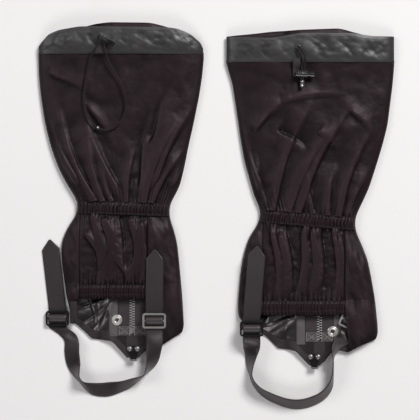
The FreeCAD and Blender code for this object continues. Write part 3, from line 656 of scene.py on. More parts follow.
def make_materials():
    """Mixes every finish."""
    # Every cloth finish below darkens creases and lightens ridges by crease depth: painted shade and painted light.
    m = MATERIALS
    # Coated taffeta of the top band: greyer, with a wide soft highlight on every crumple, partly from its coat and
    # partly painted light on the ridges.
    m["band_cloth"] = cloth_material("Coated nylon taffeta, band", "292727", "343232", 0.4, coat=0.12,
                                     coat_rough=0.26, tint="ffffff", crease=0.4, crease_size=30.0)
    # Thin coated taffeta of the leg: warm near-black, mostly dull, with a low sheen on the folds, partly real and
    # partly painted light on the ridges, and painted shade in the creases.
    m["leg_cloth"] = cloth_material("Coated nylon taffeta, leg", "1b1316", "261c20", 0.42, spec=0.2, crease=0.3,
                                    crease_size=30.0)
    # The same taffeta drawn up on elastic, its base colour darker than the leg's as painted shade of the gathers.
    m["casing_cloth"] = cloth_material("Coated nylon taffeta, gathered", "190f13", "21171a", 0.42, spec=0.2,
                                       crease=0.4, crease_size=60.0)
    # Smoother taffeta of the ankle's side panels: a little greyer and flatter.
    m["side_cloth"] = cloth_material("Coated nylon taffeta, side panels", "1c1417", "271d21", 0.42, spec=0.2,
                                     crease=0.35, crease_size=26.0)
    # The coated inner face: dark, with sharp patches of shine.
    m["coated_inside"] = cloth_material("Polyurethane-coated inner face", "161213", "242021", 0.3, coat=0.9,
                                        coat_rough=0.28, crease=0.25, crease_size=30.0, weave=0.1)
    # Woven facing of the hem: flat and matt against the shiny inside.
    m["matt_facing"] = cloth_material("Woven polyester facing", "4b4849", "5b5859", 0.66, crease=0.25, sheen=0.05,
                                      weave=0.6, weave_pitch=0.6)
    # Tight round braid: matt near-black.
    m["cord"] = cloth_material("Braided polyester cord", "0f0d0e", "1a1718", 0.62, spec=0.4, crease=0.9,
                               crease_size=900.0, weave=0.0)
    # Flat woven tape: soft dark grey ribs.
    m["tape"] = cloth_material("Woven nylon tape", "211e1f", "2b2829", 0.66, crease=0.2, weave=0.7,
                               weave_pitch=0.9, ribs=True)
    # Zip tape: twill, a shade lighter than the coated face beside it.
    m["zip_tape"] = cloth_material("Polyester zip tape", "262123", "302a2d", 0.6, crease=0.2, weave=0.7,
                                   weave_pitch=0.7, ribs=True)
    # Smooth nylon webbing: mid charcoal with a satin shine along its length.
    m["webbing"] = cloth_material("Nylon webbing", "2b2728", "353132", 0.4, coat=0.12, coat_rough=0.35, crease=0.12,
                                  crease_size=20.0, weave=0.5, weave_pitch=1.1, ribs=True)
    # Sewing thread: a lighter grey that shows as fine dashes.
    m["thread"] = cloth_material("Polyester sewing thread", "2c2729", "383335", 0.55, crease=0.2, crease_size=800.0,
                                 weave=0.0)
    # Pale thread of the box stitches at the zip's foot.
    m["pale_thread"] = cloth_material("Polyester bar-tack thread", "8a8686", "a6a2a1", 0.42, crease=0.2,
                                      crease_size=800.0, weave=0.0)
    # Moulded acetal teeth: base colour lightened to pale grey as a painted highlight, with a real hard glint from the
    # coat on each.
    m["zip_teeth"] = hard_material("Moulded acetal", "9c9a99", "bfbdbc", 0.25, coat=0.7, grain=300.0)
    # Enamelled zinc slider, puller and stud socket: black with a soft gloss.
    m["zip_metal"] = hard_material("Black enamelled zinc", "1d1b1c", "2a2829", 0.35, coat=0.6, grain=200.0)
    # Nickel-plated brass stud: the brightest thing on the cloth.
    m["stud_metal"] = hard_material("Nickel-plated brass", "c4c1bc", "dddad4", 0.3, metal=0.75, grain=240.0)
    # Dark plated steel of the eyelets and springs: a dull grey gleam.
    m["hook_metal"] = hard_material("Gunmetal-plated steel", "4c4a4b", "6a6868", 0.3, metal=0.75, grain=260.0)
    # Grip rings of the cord lock: base colour lighter than the barrel as a painted highlight, so each shows as a
    # bright line.
    m["lock_rib"] = hard_material("Moulded grey acetal", "3a3939", "4a4949", 0.22, coat=0.8, grain=200.0)
    # Plated rivet domes: bright points.
    m["rivet_metal"] = hard_material("Nickel-plated steel", "807d7c", "9d9a99", 0.32, metal=0.75, grain=260.0)
    # Nickel wire adjuster, drawn along its bars: its highlights run lengthways.
    m["buckle_b"] = hard_material("Nickel-plated steel wire", "a9a7a4", "c6c4c0", 0.3, metal=0.75, grain=200.0,
                                  aniso=0.3, stretch=0.15)
    # Moulded nylon adjuster and lace hook: gloss black with a sharp highlight.
    m["buckle_a"] = hard_material("Moulded black nylon", "0e0d0e", "181718", 0.2, coat=0.8, grain=160.0)
    # Acetal cord lock: deep black with a bright edge.
    m["lock_plastic"] = hard_material("Moulded black acetal", "121112", "1e1d1e", 0.2, coat=0.8, grain=220.0)
    # Tinned crimps on the cord ends: a small bright spot.
    m["crimp"] = hard_material("Tinned steel", "8f8d8b", "b0aeab", 0.3, metal=1.0, grain=300.0)


# ---------------------------------------------------------------- repeats

STAMPS = {}


def stamp(kind):
    """A small solid that is repeated: a stitch, or one tooth of the zip."""
    if kind in STAMPS:
        return STAMPS[kind]
    if kind == "stitch":
        rows = [(-1.3, 0.06), (-1.15, 0.2), (-0.6, 0.27), (0.6, 0.27), (1.15, 0.2), (1.3, 0.06)]
        sides = 6
    else:
        rows = [(-1.9, 0.4), (-1.8, 0.7), (-0.4, 0.75), (0.6, 1.1), (1.6, 1.1), (1.9, 0.8)]
        sides = 4
    verts, faces = [], []
    for x, r in rows:
        for k in range(sides):
            a = 2 * math.pi * (k + 0.5) / sides
            if sides == 4:
                verts.append((r * math.cos(a) * MM, -x * MM, r * math.sin(a) * 1.1 * MM))
            else:
                verts.append((x * MM, r * math.cos(a) * MM, r * math.sin(a) * 0.8 * MM))
    for i in range(len(rows) - 1):
        for k in range(sides):
            a, b = i * sides + k, i * sides + (k + 1) % sides
            faces.append((a, b, b + sides, a + sides))
    faces.append(tuple(range(sides))[::-1])
    faces.append(tuple(len(verts) - sides + k for k in range(sides)))
    ob = mesh_object("Stamp_" + kind, verts, [f[::-1] for f in faces], None, smooth=sides == 6)
    STAMPS[kind] = ob
    return ob


def repeat_group():
    """Geometry nodes that set a small solid at even steps along every line they are given."""
    name = "Repeat along a line"
    if name in bpy.data.node_groups:
        return bpy.data.node_groups[name]
    tree = bpy.data.node_groups.new(name, "GeometryNodeTree")
    face = tree.interface
    face.new_socket("Geometry", in_out="INPUT", socket_type="NodeSocketGeometry")
    for label, kind, default in (("Solid", "NodeSocketObject", None), ("Step", "NodeSocketFloat", 3.2 * MM),
                                 ("Unevenness", "NodeSocketFloat", 0.06), ("Seed", "NodeSocketInt", 1),
                                 ("Material", "NodeSocketMaterial", None)):
        made = face.new_socket(label, in_out="INPUT", socket_type=kind)
        if default is not None:
            made.default_value = default
    face.new_socket("Geometry", in_out="OUTPUT", socket_type="NodeSocketGeometry")
    given = node(tree, "NodeGroupInput").outputs
    lines = node(tree, "GeometryNodeMeshToCurve", {"Mesh": given["Geometry"]})
    points = node(tree, "GeometryNodeCurveToPoints", {"Curve": lines.outputs[0], "Length": given["Step"]},
                  mode="LENGTH")
    turn = node(tree, "FunctionNodeAlignRotationToVector", {"Vector": points.outputs["Tangent"]}, axis="X")
    solid = node(tree, "GeometryNodeObjectInfo", {"Object": given["Solid"], "As Instance": True})
    low = node(tree, "ShaderNodeMath", {0: 1.0, 1: given["Unevenness"]}, operation="SUBTRACT")
    high = node(tree, "ShaderNodeMath", {0: 1.0, 1: given["Unevenness"]}, operation="ADD")
    size = node(tree, "FunctionNodeRandomValue", {"Seed": given["Seed"]}, data_type="FLOAT")
    tree.links.new(low.outputs[0], size.inputs[2])
    tree.links.new(high.outputs[0], size.inputs[3])
    placed = node(tree, "GeometryNodeInstanceOnPoints", {
        "Points": points.outputs["Points"], "Instance": solid.outputs["Geometry"],
        "Rotation": turn.outputs[0], "Scale": size.outputs[1]})
    real = node(tree, "GeometryNodeRealizeInstances", {"Geometry": placed.outputs[0]})
    painted = node(tree, "GeometryNodeSetMaterial", {"Geometry": real.outputs[0], "Material": given["Material"]})
    node(tree, "NodeGroupOutput", {"Geometry": painted.outputs[0]})
    return tree


def repeated(name, lines, kind, step, material, seed=1):
    """Sets a small solid at even steps along lines of points and makes plain meshes of them."""
    verts, edges = [], []
    for line in lines:
        start = len(verts)
        verts += [tuple(map(float, p)) for p in line]
        edges += [(start + i, start + i + 1) for i in range(len(line) - 1)]
    mesh = bpy.data.meshes.new(name)
    mesh.from_pydata(verts, edges, [])
    ob = link(bpy.data.objects.new(name, mesh))
    mod = ob.modifiers.new("Repeat", "NODES")
    group = repeat_group()
    mod.node_group = group
    values = {"Solid": stamp(kind), "Step": step, "Seed": seed, "Material": MATERIALS[material],
              "Unevenness": 0.0 if kind == "tooth" else 0.07}
    for item in group.interface.items_tree:
        if item.in_out == "INPUT" and item.name in values:
            mod[item.identifier] = values[item.name]
    ob.update_tag()
    bpy.context.view_layer.update()
    return baked(ob)


def put(ob, body, slot, *nodes):
    """The piece moves with its body and stands for solids of the frame; the slot is not used."""
    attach(ob, body)
    if nodes:
        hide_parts(*nodes)
    return ob


def lathe(name, profile, base, axis, material, sides=40):
    """A turned solid: radius and distance along an axis, in millimetres."""
    axis = Vector(axis).normalized()
    side = axis.orthogonal().normalized()
    other = axis.cross(side)
    verts, faces = [], []
    for r, along in profile:
        for k in range(sides):
            a = 2 * math.pi * k / sides
            verts.append(Vector(base) * MM + (axis * along + (side * math.cos(a) + other * math.sin(a)) * r) * MM)
    n = len(profile)
    for i in range(n - 1):
        for k in range(sides):
            a, b = i * sides + k, i * sides + (k + 1) % sides
            faces.append((a, b, b + sides, a + sides))
    if profile[0][0] > 0.01 and profile[0] != profile[-1]:
        faces.append(tuple(range(sides))[::-1])
        faces.append(tuple((n - 1) * sides + k for k in range(sides)))
    ob = mesh_object(name, verts, faces, MATERIALS[material])
    ob.data.validate()
    return ob


# ---------------------------------------------------------------- the pieces of one gaiter

# Tapes that hold the cord locks: one edge and the other, in millimetres.
LOCK_TABS = {
    "left": [((-175, 232.5, 24.6), (-156, 232.5, 24.6)), ((-173, 240, 24.7), (-158, 240, 24.7)),
             ((-170, 246, 24.7), (-159, 245, 24.7))],
    "right": [((108.5, 225, 24.7), (121, 225, 24.7)), ((108.5, 218, 24.5), (121, 218, 24.5)),
              ((108.5, 209, 20.9), (121, 209, 20.9)), ((109, 199, 20.4), (121, 198.5, 20.4))],
}
# Where each cord comes out of the band, in millimetres, and the way its lock's button is pressed.
EXITS = {"left": (-164, 240), "right": (116.5, 241)}
LOCK_PRESS = {"left": (-0.90631, 0.42262, 0.0), "right": (-0.99863, 0.05234, 0.0)}
LEGS = {}


def stitch_line(points, row, lift=0.2 * MM):
    """A seam's line just above the cloth, along a row of a grid or a given line of points."""
    line = points[row] if isinstance(row, int) else row
    return [tuple(p + np.array([0, 0, lift])) for p in line]


def make_calf_back(leg):
    """Upper near layer, gathered into the waist: 262 mm wide where it is cut, 212 mm long."""
    side = leg.side
    t = np.linspace(leg.waist[1] - 0.5 * MM, leg.seam_y + 2 * MM, 64)
    s = spread(78)
    base = over_leg(leg, t, s, 2.4 * MM)
    x, y = base[..., 0], base[..., 1]
    inner = np.clip((1 - np.abs(s)) * 5, 0, 1)[None, :]
    start = base.copy()
    start[..., 2] += (fold_height(x, y, CALF_FOLDS[side]) * 1.5 + ripple(x, y, 0.04, len(side), 2) * 1.6 * MM) * inner
    centre = (leg.seams[0] + leg.seams[1]) / 2
    away = np.clip((t - leg.waist[1]) / 0.07, 0, None)
    wide = 1.02 + 0.085 * np.exp(-away)
    cut = start.copy()
    cut[..., 0] = centre + (x - centre) * wide[:, None]
    cut[..., 1] = y * 1.02
    fine = refine(settle(leg.n + "calf_cloth", start, cut, sewn_border(x.shape), 34, 0.35), 3)
    u = (spread(fine.shape[1]) + 1) / 2
    up = (refine(base, 3)[..., 1] - fine[0][None, :, 1])
    pleats = Pleats(29, 11 + len(side))
    crimp = pleats.run(u[None, :], np.maximum(up, 0), 8 * MM, 34 * MM) * 2.2 * MM
    edge = np.clip((1 - np.abs(2 * u - 1)) * 9, 0, 1)[None, :]
    small = ripple(fine[..., 0], fine[..., 1], 0.016, 3 + len(side), 3) * 0.35 * MM
    sharp = fold_height(fine[..., 0], fine[..., 1], CALF_FOLDS[side]) * 1.1
    fine = fine + normals(fine) * ((crimp + small + sharp) * edge)[..., None]
    floor_z = np.minimum(refine(base, 3)[..., 2] - 5 * MM, 9.5 * MM)
    fine[..., 2] = held(fine[..., 2], floor_z, 21.3 * MM)
    ob = sheet_object(leg.n + "calf_back_cloth", fine, MATERIALS["leg_cloth"], cloth_wall())
    put(ob, leg.n + "gaiter", "leg_cloth", leg.n + "calf_back")


def make_under(leg):
    """Far layer, waist to band, on the ground on both sides of the zip."""
    parts = []
    y = np.linspace(leg.waist[0] - 0.004, leg.seam_y + 3 * MM, 90)
    for side in (-1, 1):
        edge = leg.fold(y, side)
        inner = leg.zip_x + side * 7.5 * MM
        f = (1 - np.cos(np.linspace(0, 1, 44) * math.pi / 2))[None, :]
        x = edge[:, None] + (inner - edge[:, None]) * f
        yy = np.repeat(y[:, None], 44, axis=1)
        z = leg.front_z(x) + 0.4 * MM + np.exp(-np.abs(x - edge[:, None]) / (2.4 * MM)) * (FOLD_Z - 0.8 * MM)
        z += (ripple(x, yy, 0.03, 5, 2) + 1) * 0.5 * MM * np.clip(np.abs(x - inner) / 0.012, 0, 1)
        z[:, 0] = FOLD_Z
        points = np.stack([x, yy, z], axis=2)
        parts.append(sheet_object("half", outward(points, side), MATERIALS["leg_cloth"]))
    ob = join(leg.n + "calf_front_cloth", parts)
    thicken(ob, cloth_wall(), 1.0)
    put(ob, leg.n + "gaiter", "leg_cloth", leg.n + "calf_front")


def make_band(leg):
    """The folded hem with the drawcord in it: outer face, rolled top edge and inner face, near and far."""
    n = leg.n
    s = spread(92, 0.75)
    xl, xr = leg.fold(leg.seam_y + 2 * MM, -1), leg.fold(leg.seam_y + 2 * MM, 1)
    x = (xl + xr) / 2 + (xr - xl) / 2 * s
    x[0] += 0.6 * MM
    x[-1] -= 0.6 * MM
    near, far = [], []
    for value in x:
        core = abs(value - (xl + xr) / 2) < 0.4 * (xr - xl)
        near.append(leg.edge(leg.band_cut, value, low=0.014 if core else 0.0075, fallback=leg.seam_y + 0.011))
        far.append(leg.edge(leg.band_cut, value, high=0.014 if core else 0.0105, fallback=leg.seam_y + 0.012))
    near, far = eased(near, 4), np.array(far)
    gap = np.abs(x - leg.zip_x) < 24 * MM
    far[gap] = np.interp(x[gap], x[~gap], far[~gap])
    far = eased(far, 4)
    rise = arched(s)
    v = np.concatenate([np.linspace(0, 1, 30), [1.0] * 3, np.linspace(0.97, 0.35, 8)])
    rows = []
    for i, f in enumerate(v):
        y = leg.seam_y + (near - leg.seam_y) * f
        z = FOLD_Z + (21.7 * MM - FOLD_Z) * rise
        if i < 30:
            z = z - (1 - math.sin(math.pi * min(f * 1.6, 1) / 2)) * 1.6 * MM * rise - (f ** 6) * 0.7 * MM * rise
        else:
            k = min(i - 29, 4)
            y = y + (0.7, 0.9, 0.5, 0.0)[k - 1] * MM
            z = z - (1.0, 1.8, 2.5, 3.0)[k - 1] * MM * rise
        rows.append(np.stack([x, y, z], axis=1))
    rows = np.array(rows)
    outer = rows[:30].copy()
    cut = outer.copy()
    mid = (xl + xr) / 2
    cut[..., 0] = mid + (outer[..., 0] - mid) * 1.03
    cut[..., 1] = leg.seam_y + (outer[..., 1] - leg.seam_y) * 1.07
    inner = np.clip((1 - np.abs(s)) * 6, 0, 1)[None, :]
    outer[..., 2] += (ripple(outer[..., 0], outer[..., 1], 0.028, 17 + len(n), 3) * 2.2 * MM
                      + ripple(outer[..., 0] + outer[..., 1], outer[..., 1] * 0.6, 0.012, 9, 2) * 0.6 * MM) * inner \
        * np.sin(np.linspace(0, 1, 30) * math.pi)[:, None]
    settled = settle(n + "band_cloth", outer, cut, sewn_border(outer.shape[:2]), 26, 0.5)
    points = refine(np.concatenate([settled, rows[30:]]), 2)
    roof = refine(rows, 2)[..., 2]
    points[..., 2] = held(points[..., 2], np.minimum(roof - 2.5 * MM, 17 * MM), 22.6 * MM, 0.8 * MM)
    face = sheet_object("near", points, MATERIALS["band_cloth"])
    v = np.concatenate([np.linspace(0, 1, 16), [1.01], np.linspace(1.0, 0.0, 8)])
    rows = []
    for i, f in enumerate(v):
        y = leg.seam_y + (far - leg.seam_y) * f
        z = np.maximum(leg.front_z(x) + 0.2 * MM, FOLD_Z * np.exp(-(1 - np.abs(s)) * 34))
        if i > 16:
            z = z + 2.6 * MM * (1 - 0.5 * np.abs(s) ** 8)
        elif i == 16:
            z = z + 1.3 * MM
            y = y + 0.4 * MM
        if i > 16:
            z = z + (ripple(x, y, 0.03, 3, 2) * 0.5) * MM
        rows.append(np.stack([x, y, z], axis=1))
    back = np.array(rows)
    low = sheet_object("far", back[:, ::-1], MATERIALS["leg_cloth"])
    ob = join(n + "band_hem", [face, low])
    thicken(ob, cloth_wall())
    put(ob, n + "gaiter", "band_cloth", n + "band", n + "cord_run")
    lines = [stitch_line(points, 3), stitch_line(points, 52)]
    stitches = repeated(n + "band_stitches", lines, "stitch", 3.4 * MM, "thread", 3)
    put(stitches, n + "gaiter", "band_cloth")


def make_waist(leg):
    """Waist casing with its uneven pleats between two pinched stitch lines, and its flat far side."""
    n = leg.n
    low, high = leg.waist
    v = np.linspace(0, 1, 17)
    t = low - 0.6 * MM + (high - low + 1.2 * MM) * v
    s = spread(330, 0.35)
    base = over_leg(leg, t, s, 0.6 * MM)
    u = (s + 1) / 2
    pleats, others = Pleats(30, 41 + len(n)), Pleats(26, 77 + len(n))
    across = np.sin(math.pi * v)[:, None]
    pinch = np.exp(-((v - 0.13) / 0.05) ** 2) + np.exp(-((v - 0.87) / 0.05) ** 2)
    sway = 0.012 * np.sin(v * 5)[:, None]
    rise = pleats.rise(np.clip(u[None, :] + sway * 0.6, 0, 1)) * 0.75 + others.rise(u[None, :] - sway * 0.3) * 0.35
    out = (0.9 * across ** 0.6 - 0.6 * pinch[:, None] + rise * (2.2 - 0.9 * pinch[:, None])) * MM
    edge = np.clip((1 - np.abs(s)) * 12, 0.35, 1)[None, :]
    points = base + normals(base) * (out * edge)[..., None]
    points[..., 2] = np.minimum(points[..., 2], 21.8 * MM)
    near = sheet_object("near", points, MATERIALS["casing_cloth"])
    flat = points[:, ::6].copy()
    flat[..., 2] = leg.front_z(flat[..., 0]) * 0.9 + 0.1 * MM \
        + np.exp(-(1 - np.abs(s[::6])) * 30)[None, :] * (FOLD_Z - 0.3 * MM)
    flat[:, 0], flat[:, -1] = points[:, 0], points[:, -1]
    under = sheet_object("far", flat[:, ::-1], MATERIALS["casing_cloth"])
    ob = join(n + "waist_gathers", [near, under])
    thicken(ob, cloth_wall())
    put(ob, n + "gaiter", "casing_cloth", n + "waist_casing", n + "elastics")
    lines = [stitch_line(points, r, 0.25 * MM) for r in (2, 14)]
    put(repeated(n + "waist_stitches", lines, "stitch", 3.0 * MM, "thread", 5), n + "gaiter", "casing_cloth")


def make_ankle(leg):
    """Near layer of the ankle: a gathered middle between two smooth side panels."""
    n = leg.n
    low, high = leg.heel[1], leg.waist[0]
    t = np.linspace(low - 0.5 * MM, high + 0.5 * MM, 40)
    a, b = leg.seams
    cols = (12, 56, 12)
    rows = []
    for value in t:
        k = leg.slope(value)
        xl, xr = leg.fold(value, -1), leg.fold(value, 1)
        x = np.concatenate([
            xl + (a - xl) * (1 - np.cos(np.linspace(0, 1, cols[0], endpoint=False) * math.pi / 2)),
            np.linspace(a, b, cols[1], endpoint=False),
            b + (xr - b) * np.sin(np.linspace(0, 1, cols[2]) * math.pi / 2)])
        y = value + k * (x - (xl + xr) / 2)
        left, right = leg.fold(y, -1), leg.fold(y, 1)
        x = np.clip(x, left, right)
        x[0], x[-1] = leg.fold(y[0], -1), leg.fold(y[-1], 1)
        s = (x - (left + right) / 2) / ((right - left) / 2)
        rows.append(np.stack([x, y, leg.arch(np.clip(s, -1, 1), y, 2.6 * MM)], axis=1))
    base = np.array(rows)
    x, y = base[..., 0], base[..., 1]
    middle = np.clip(np.minimum(x - a, b - x) / 0.008, 0, 1)
    start = base.copy()
    start[..., 2] += (fold_height(x, y, ANKLE_FOLDS[leg.side]) * 1.6 + ripple(x, y, 0.022, 23, 3) * 1.5 * MM) * middle
    cut = start.copy()
    centre = (a + b) / 2
    wide = np.where((x > a) & (x < b), 1.17, 1.0)
    run = np.cumsum(np.diff(x, axis=1, prepend=x[:, :1]) * wide, axis=1)
    cut[..., 0] = centre + run - run[:, -1:] / 2
    cut[..., 1] = y * 1.03
    pins = sewn_border(x.shape)
    pins[:, cols[0]] = pins[:, cols[0] + cols[1]] = 1
    factor = 3
    fine = refine(settle(n + "ankle_cloth", start, cut, pins, 34, 0.3), factor)
    rough = refine(base, factor)
    i, j = cols[0] * factor, (cols[0] + cols[1]) * factor
    fa = np.clip((rough[..., 0] - a) / (b - a), 0, 1)
    inside = np.clip(np.minimum(rough[..., 0] - a, b - rough[..., 0]) / 0.004, 0.12, 1)
    from_top = np.maximum(fine[-1][None, :, 1] - fine[..., 1], 0)
    from_low = np.maximum(fine[..., 1] - fine[0][None, :, 1], 0)
    crimp = Pleats(18, 51 + len(n)).run(fa, from_top, 5 * MM, 24 * MM) * 2.2 * MM \
        + Pleats(17, 91 + len(n)).run(fa, from_low, 5 * MM, 22 * MM) * 2.6 * MM
    small = ripple(fine[..., 0], fine[..., 1], 0.014, 33, 3) * 0.4 * MM
    outside = np.clip(np.maximum(a - rough[..., 0], rough[..., 0] - b) / 0.006, 0, 1)
    outside *= np.clip(np.minimum(rough[..., 0] - rough[:, :1, 0], rough[:, -1:, 0] - rough[..., 0]) / 0.006, 0, 1)
    soft = ripple(fine[..., 0] + 0.3 * fine[..., 1], 0.45 * fine[..., 1], 0.024, 47, 3) * 2.2 * MM
    sharp = fold_height(fine[..., 0], fine[..., 1], ANKLE_FOLDS[leg.side]) * 1.4
    fine = fine + normals(fine) * ((crimp + small + sharp) * inside + soft * outside)[..., None]
    floor_z = np.minimum(rough[..., 2] - 5 * MM, 10 * MM)
    fine[..., 2] = held(fine[..., 2], floor_z, 21.6 * MM, 1.0 * MM)
    groove = np.exp(-((rough[..., 0] - a) / (1.1 * MM)) ** 2) + np.exp(-((rough[..., 0] - b) / (1.1 * MM)) ** 2)
    fine[..., 2] -= groove * 0.4 * MM
    back = sheet_object(n + "ankle_back_cloth", fine[:, i:j + 1], MATERIALS["leg_cloth"], cloth_wall())
    put(back, n + "gaiter", "leg_cloth", n + "ankle_back")
    parts = []
    for side, upper in ((-1, fine[:, :i + 1]), (1, fine[:, j:])):
        lower = low_panel(leg, side, upper[0])
        whole = np.concatenate([lower[:-1], upper])
        meet = len(lower) - 1
        for _ in range(10):
            z = whole[meet - 9:meet + 10, :, 2]
            whole[meet - 8:meet + 9, :, 2] = (z[:-2] + 2 * z[1:-1] + z[2:]) / 4
        parts.append(sheet_object("panel", whole, MATERIALS["side_cloth"]))
    ob = join(n + "ankle_side_panels", parts)
    thicken(ob, cloth_wall())
    put(ob, n + "gaiter", "leg_cloth", n + "ankle_sides")
    lines = [stitch_line(fine, fine[:, column], 0.25 * MM) for column in (i - 3, j + 3)]
    put(repeated(n + "seam_stitches", lines, "stitch", 3.2 * MM, "thread", 7), n + "gaiter", "leg_cloth")


def low_panel(leg, side, top_row):
    """A side panel below the ankle, from the casing's level down to its slanting hem."""
    inner = leg.seams[0] if side < 0 else leg.seams[1]
    top = top_row if side < 0 else top_row[::-1]
    f = np.clip((top[:, 0] - top[0, 0]) / (inner - top[0, 0]), 0, 1)
    ends = []
    for value in f:
        y = leg.low_y + 0.03
        x = leg.fold(y, side) * (1 - value) + inner * value - side * (2.2 - 1.8 * value) * MM
        pts = leg.sides_cut.at(0, x)
        ends.append(pts[:, 1].min() if len(pts) else leg.low_y + 0.03)
    ends = eased(ends, 8) + (7 if side > 0 else 3) * MM * np.clip(1.1 - f, 0, 1)
    rows = 40
    points = np.empty((rows, len(f), 3))
    for r, share in enumerate(np.linspace(0, 1, rows)):
        y = top[:, 1] + (ends - top[:, 1]) * share
        edge = leg.fold(y, side)
        x = edge + (inner - edge) * f
        roof = np.interp(y, leg.ys, leg.side_tops(side))
        z = FOLD_Z + (roof - 0.8 * MM - FOLD_Z) * arched(1 - f)
        z += ripple(x + 0.3 * y, 0.45 * y, 0.024, 47, 3) * 2.0 * MM * np.clip(f * 4, 0, 1) * np.clip(6 - 6 * f, 0, 1)
        keep = math.exp(-share * 4)
        points[r] = np.stack([x * (1 - keep) + top[:, 0] * keep, y, z * (1 - keep) + top[:, 2] * keep], axis=1)
    return outward(points[::-1], side)


def make_heel(leg):
    """Heel casing between the seams: pleats, with a crimped edge hanging below the lower stitching."""
    n = leg.n
    low, high = leg.heel
    a, b = leg.seams
    v = np.concatenate([np.linspace(-0.32, 0, 6, endpoint=False), np.linspace(0, 1, 17)])
    cols = 270
    u = np.linspace(0, 1, cols)
    x = a + (b - a) * u
    rows = []
    pleats, others = Pleats(25, 61 + len(n)), Pleats(21, 87 + len(n))
    for f in v:
        y = low + (high - low) * f
        yy = np.full(cols, y)
        left, right = leg.fold(yy, -1), leg.fold(yy, 1)
        s = (x - (left + right) / 2) / ((right - left) / 2)
        z = leg.arch(s, np.maximum(yy, low), 1.0 * MM)
        pinch = math.exp(-((f - 0.14) / 0.06) ** 2) + math.exp(-((f - 0.88) / 0.06) ** 2)
        rise = pleats.rise(np.clip(u + 0.004 * math.sin(f * 5), 0, 1)) * 0.8 + others.rise(u) * 0.35
        bulge = math.sin(math.pi * min(max(f, 0), 1)) ** 0.6 * 1.0
        flare = max(-f, 0) / 0.32
        out = bulge - 0.6 * pinch + rise * (1.6 - 0.7 * pinch + 0.9 * flare) - 2.2 * flare ** 1.5
        yy = yy + (others.rise(u) * 3.4 + pleats.rise(u) * 1.6) * MM * flare
        rows.append(np.stack([x, yy, np.minimum(z + out * MM, 21.9 * MM)], axis=1))
    points = np.array(rows)
    ob = sheet_object(n + "heel_gathers", points, MATERIALS["casing_cloth"], cloth_wall())
    put(ob, n + "gaiter", "casing_cloth", n + "heel_casing")
    lines = [stitch_line(points, r, 0.25 * MM) for r in (8, 21)]
    put(repeated(n + "heel_stitches", lines, "stitch", 3.0 * MM, "thread", 9), n + "gaiter", "casing_cloth")


def instep_height(leg, x, y):
    """Height of the crumpled far layer below the ankle, flat under the zip tapes."""
    clear = np.clip((np.abs(x - leg.zip_x) - 21 * MM) / 0.012, 0, 1)
    lumps = np.maximum(fold_height(x, y, INSTEP_FOLDS[leg.side]), 0) * 1.5 + (ripple(x, y, 0.03, 19, 3) + 1) * 1.1 * MM
    return leg.front_z(x) + 0.7 * MM + lumps * clear


def make_instep(leg):
    """Far layer of the ankle and foot, its shiny coated face up, split by the zip."""
    n = leg.n
    parts, facing = [], []
    leg.hem = {}
    for side in (-1, 1):
        inner = leg.zip_x + side * 7.0 * MM
        f = np.linspace(0, 1, 74)
        f = 0.6 * f + 0.4 * (1 - np.cos(f * math.pi / 2))
        low = []
        y_mid = (leg.heel[0] + leg.low_y) / 2
        edge0 = leg.fold(y_mid, side)
        for value in f:
            x = edge0 + (inner - edge0) * value
            x = x - side * 0.8 * MM * (1 - value)
            found = leg.edge(leg.facing_cut, x, top=False)
            if found is None:
                found = leg.edge(leg.instep_cut, x, top=False, fallback=leg.low_y + 0.03)
            low.append(found)
        low = eased(low, 5)

        def row_at(y, lift=0.0):
            edge = leg.fold(y, side)
            x = edge + (inner - edge) * f
            z = instep_height(leg, x, y)
            z = z + np.exp(-np.abs(x - edge) / (2.6 * MM)) * np.maximum(FOLD_Z - z, 0) + lift
            return np.stack([x, y, z], axis=1)

        points = np.array([row_at(low + (leg.waist[0] - 0.002 - low) * share)
                           for share in np.linspace(0, 1, 96) ** 1.35])
        parts.append(sheet_object("half", outward(points, side), MATERIALS["coated_inside"]))
        strip = np.array([row_at(low - 0.3 * MM + 13.2 * MM * r / 8, (0.75 if 0 < r < 8 else 0.35) * MM)
                          for r in range(9)])
        facing.append(sheet_object("strip", outward(strip, side), MATERIALS["tape"]))
        leg.hem[side] = strip
        reach = np.linspace(0, 1, 40)[:, None]
        wide = np.linspace(0, 1, 9)[None, :]
        x = leg.zip_x + side * (20.0 + 13.5 * wide) * MM + 0 * reach
        y = leg.heel[0] + 0.012 + (low[-1] + 0.030 - leg.heel[0] - 0.012) * reach + 0 * wide
        z = instep_height(leg, x, y) + 0.9 * MM * np.clip(np.minimum(wide, 1 - wide) * 12, 0.45, 1)
        post = np.stack([x, y, z], axis=2)
        facing.append(sheet_object("post", outward(post, side), MATERIALS["matt_facing"]))
    ob = join(n + "instep_cloth", parts)
    thicken(ob, cloth_wall())
    put(ob, n + "gaiter", "coated_inside", n + "instep")
    across = np.linspace(-1, 1, 20)
    hem = [leg.edge(leg.facing_cut, leg.zip_x + v * 8 * MM, top=False, fallback=leg.low_y) for v in across]
    up = np.linspace(0, 1, 14)[:, None]
    y = np.array(hem)[None, :] - 0.3 * MM + (leg.box["zip_tapes"][0][1] + 0.004 - np.array(hem)[None, :]) * up
    x = leg.zip_x + across[None, :] * 8.4 * MM + 0 * up
    facing.append(sheet_object("middle", np.stack([x, y, RAISE + 1.5 * MM + 0 * x], axis=2), MATERIALS["tape"]))
    ob = join(n + "hem_facing", facing)
    thicken(ob, 0.3 * MM)
    put(ob, n + "gaiter", "matt_facing", n + "facing")
    lines = [stitch_line(leg.hem[k], r, 0.2 * MM) for k in (-1, 1) for r in (1, 7)]
    put(repeated(n + "hem_stitches", lines, "stitch", 3.2 * MM, "thread", 11), n + "gaiter", "matt_facing")


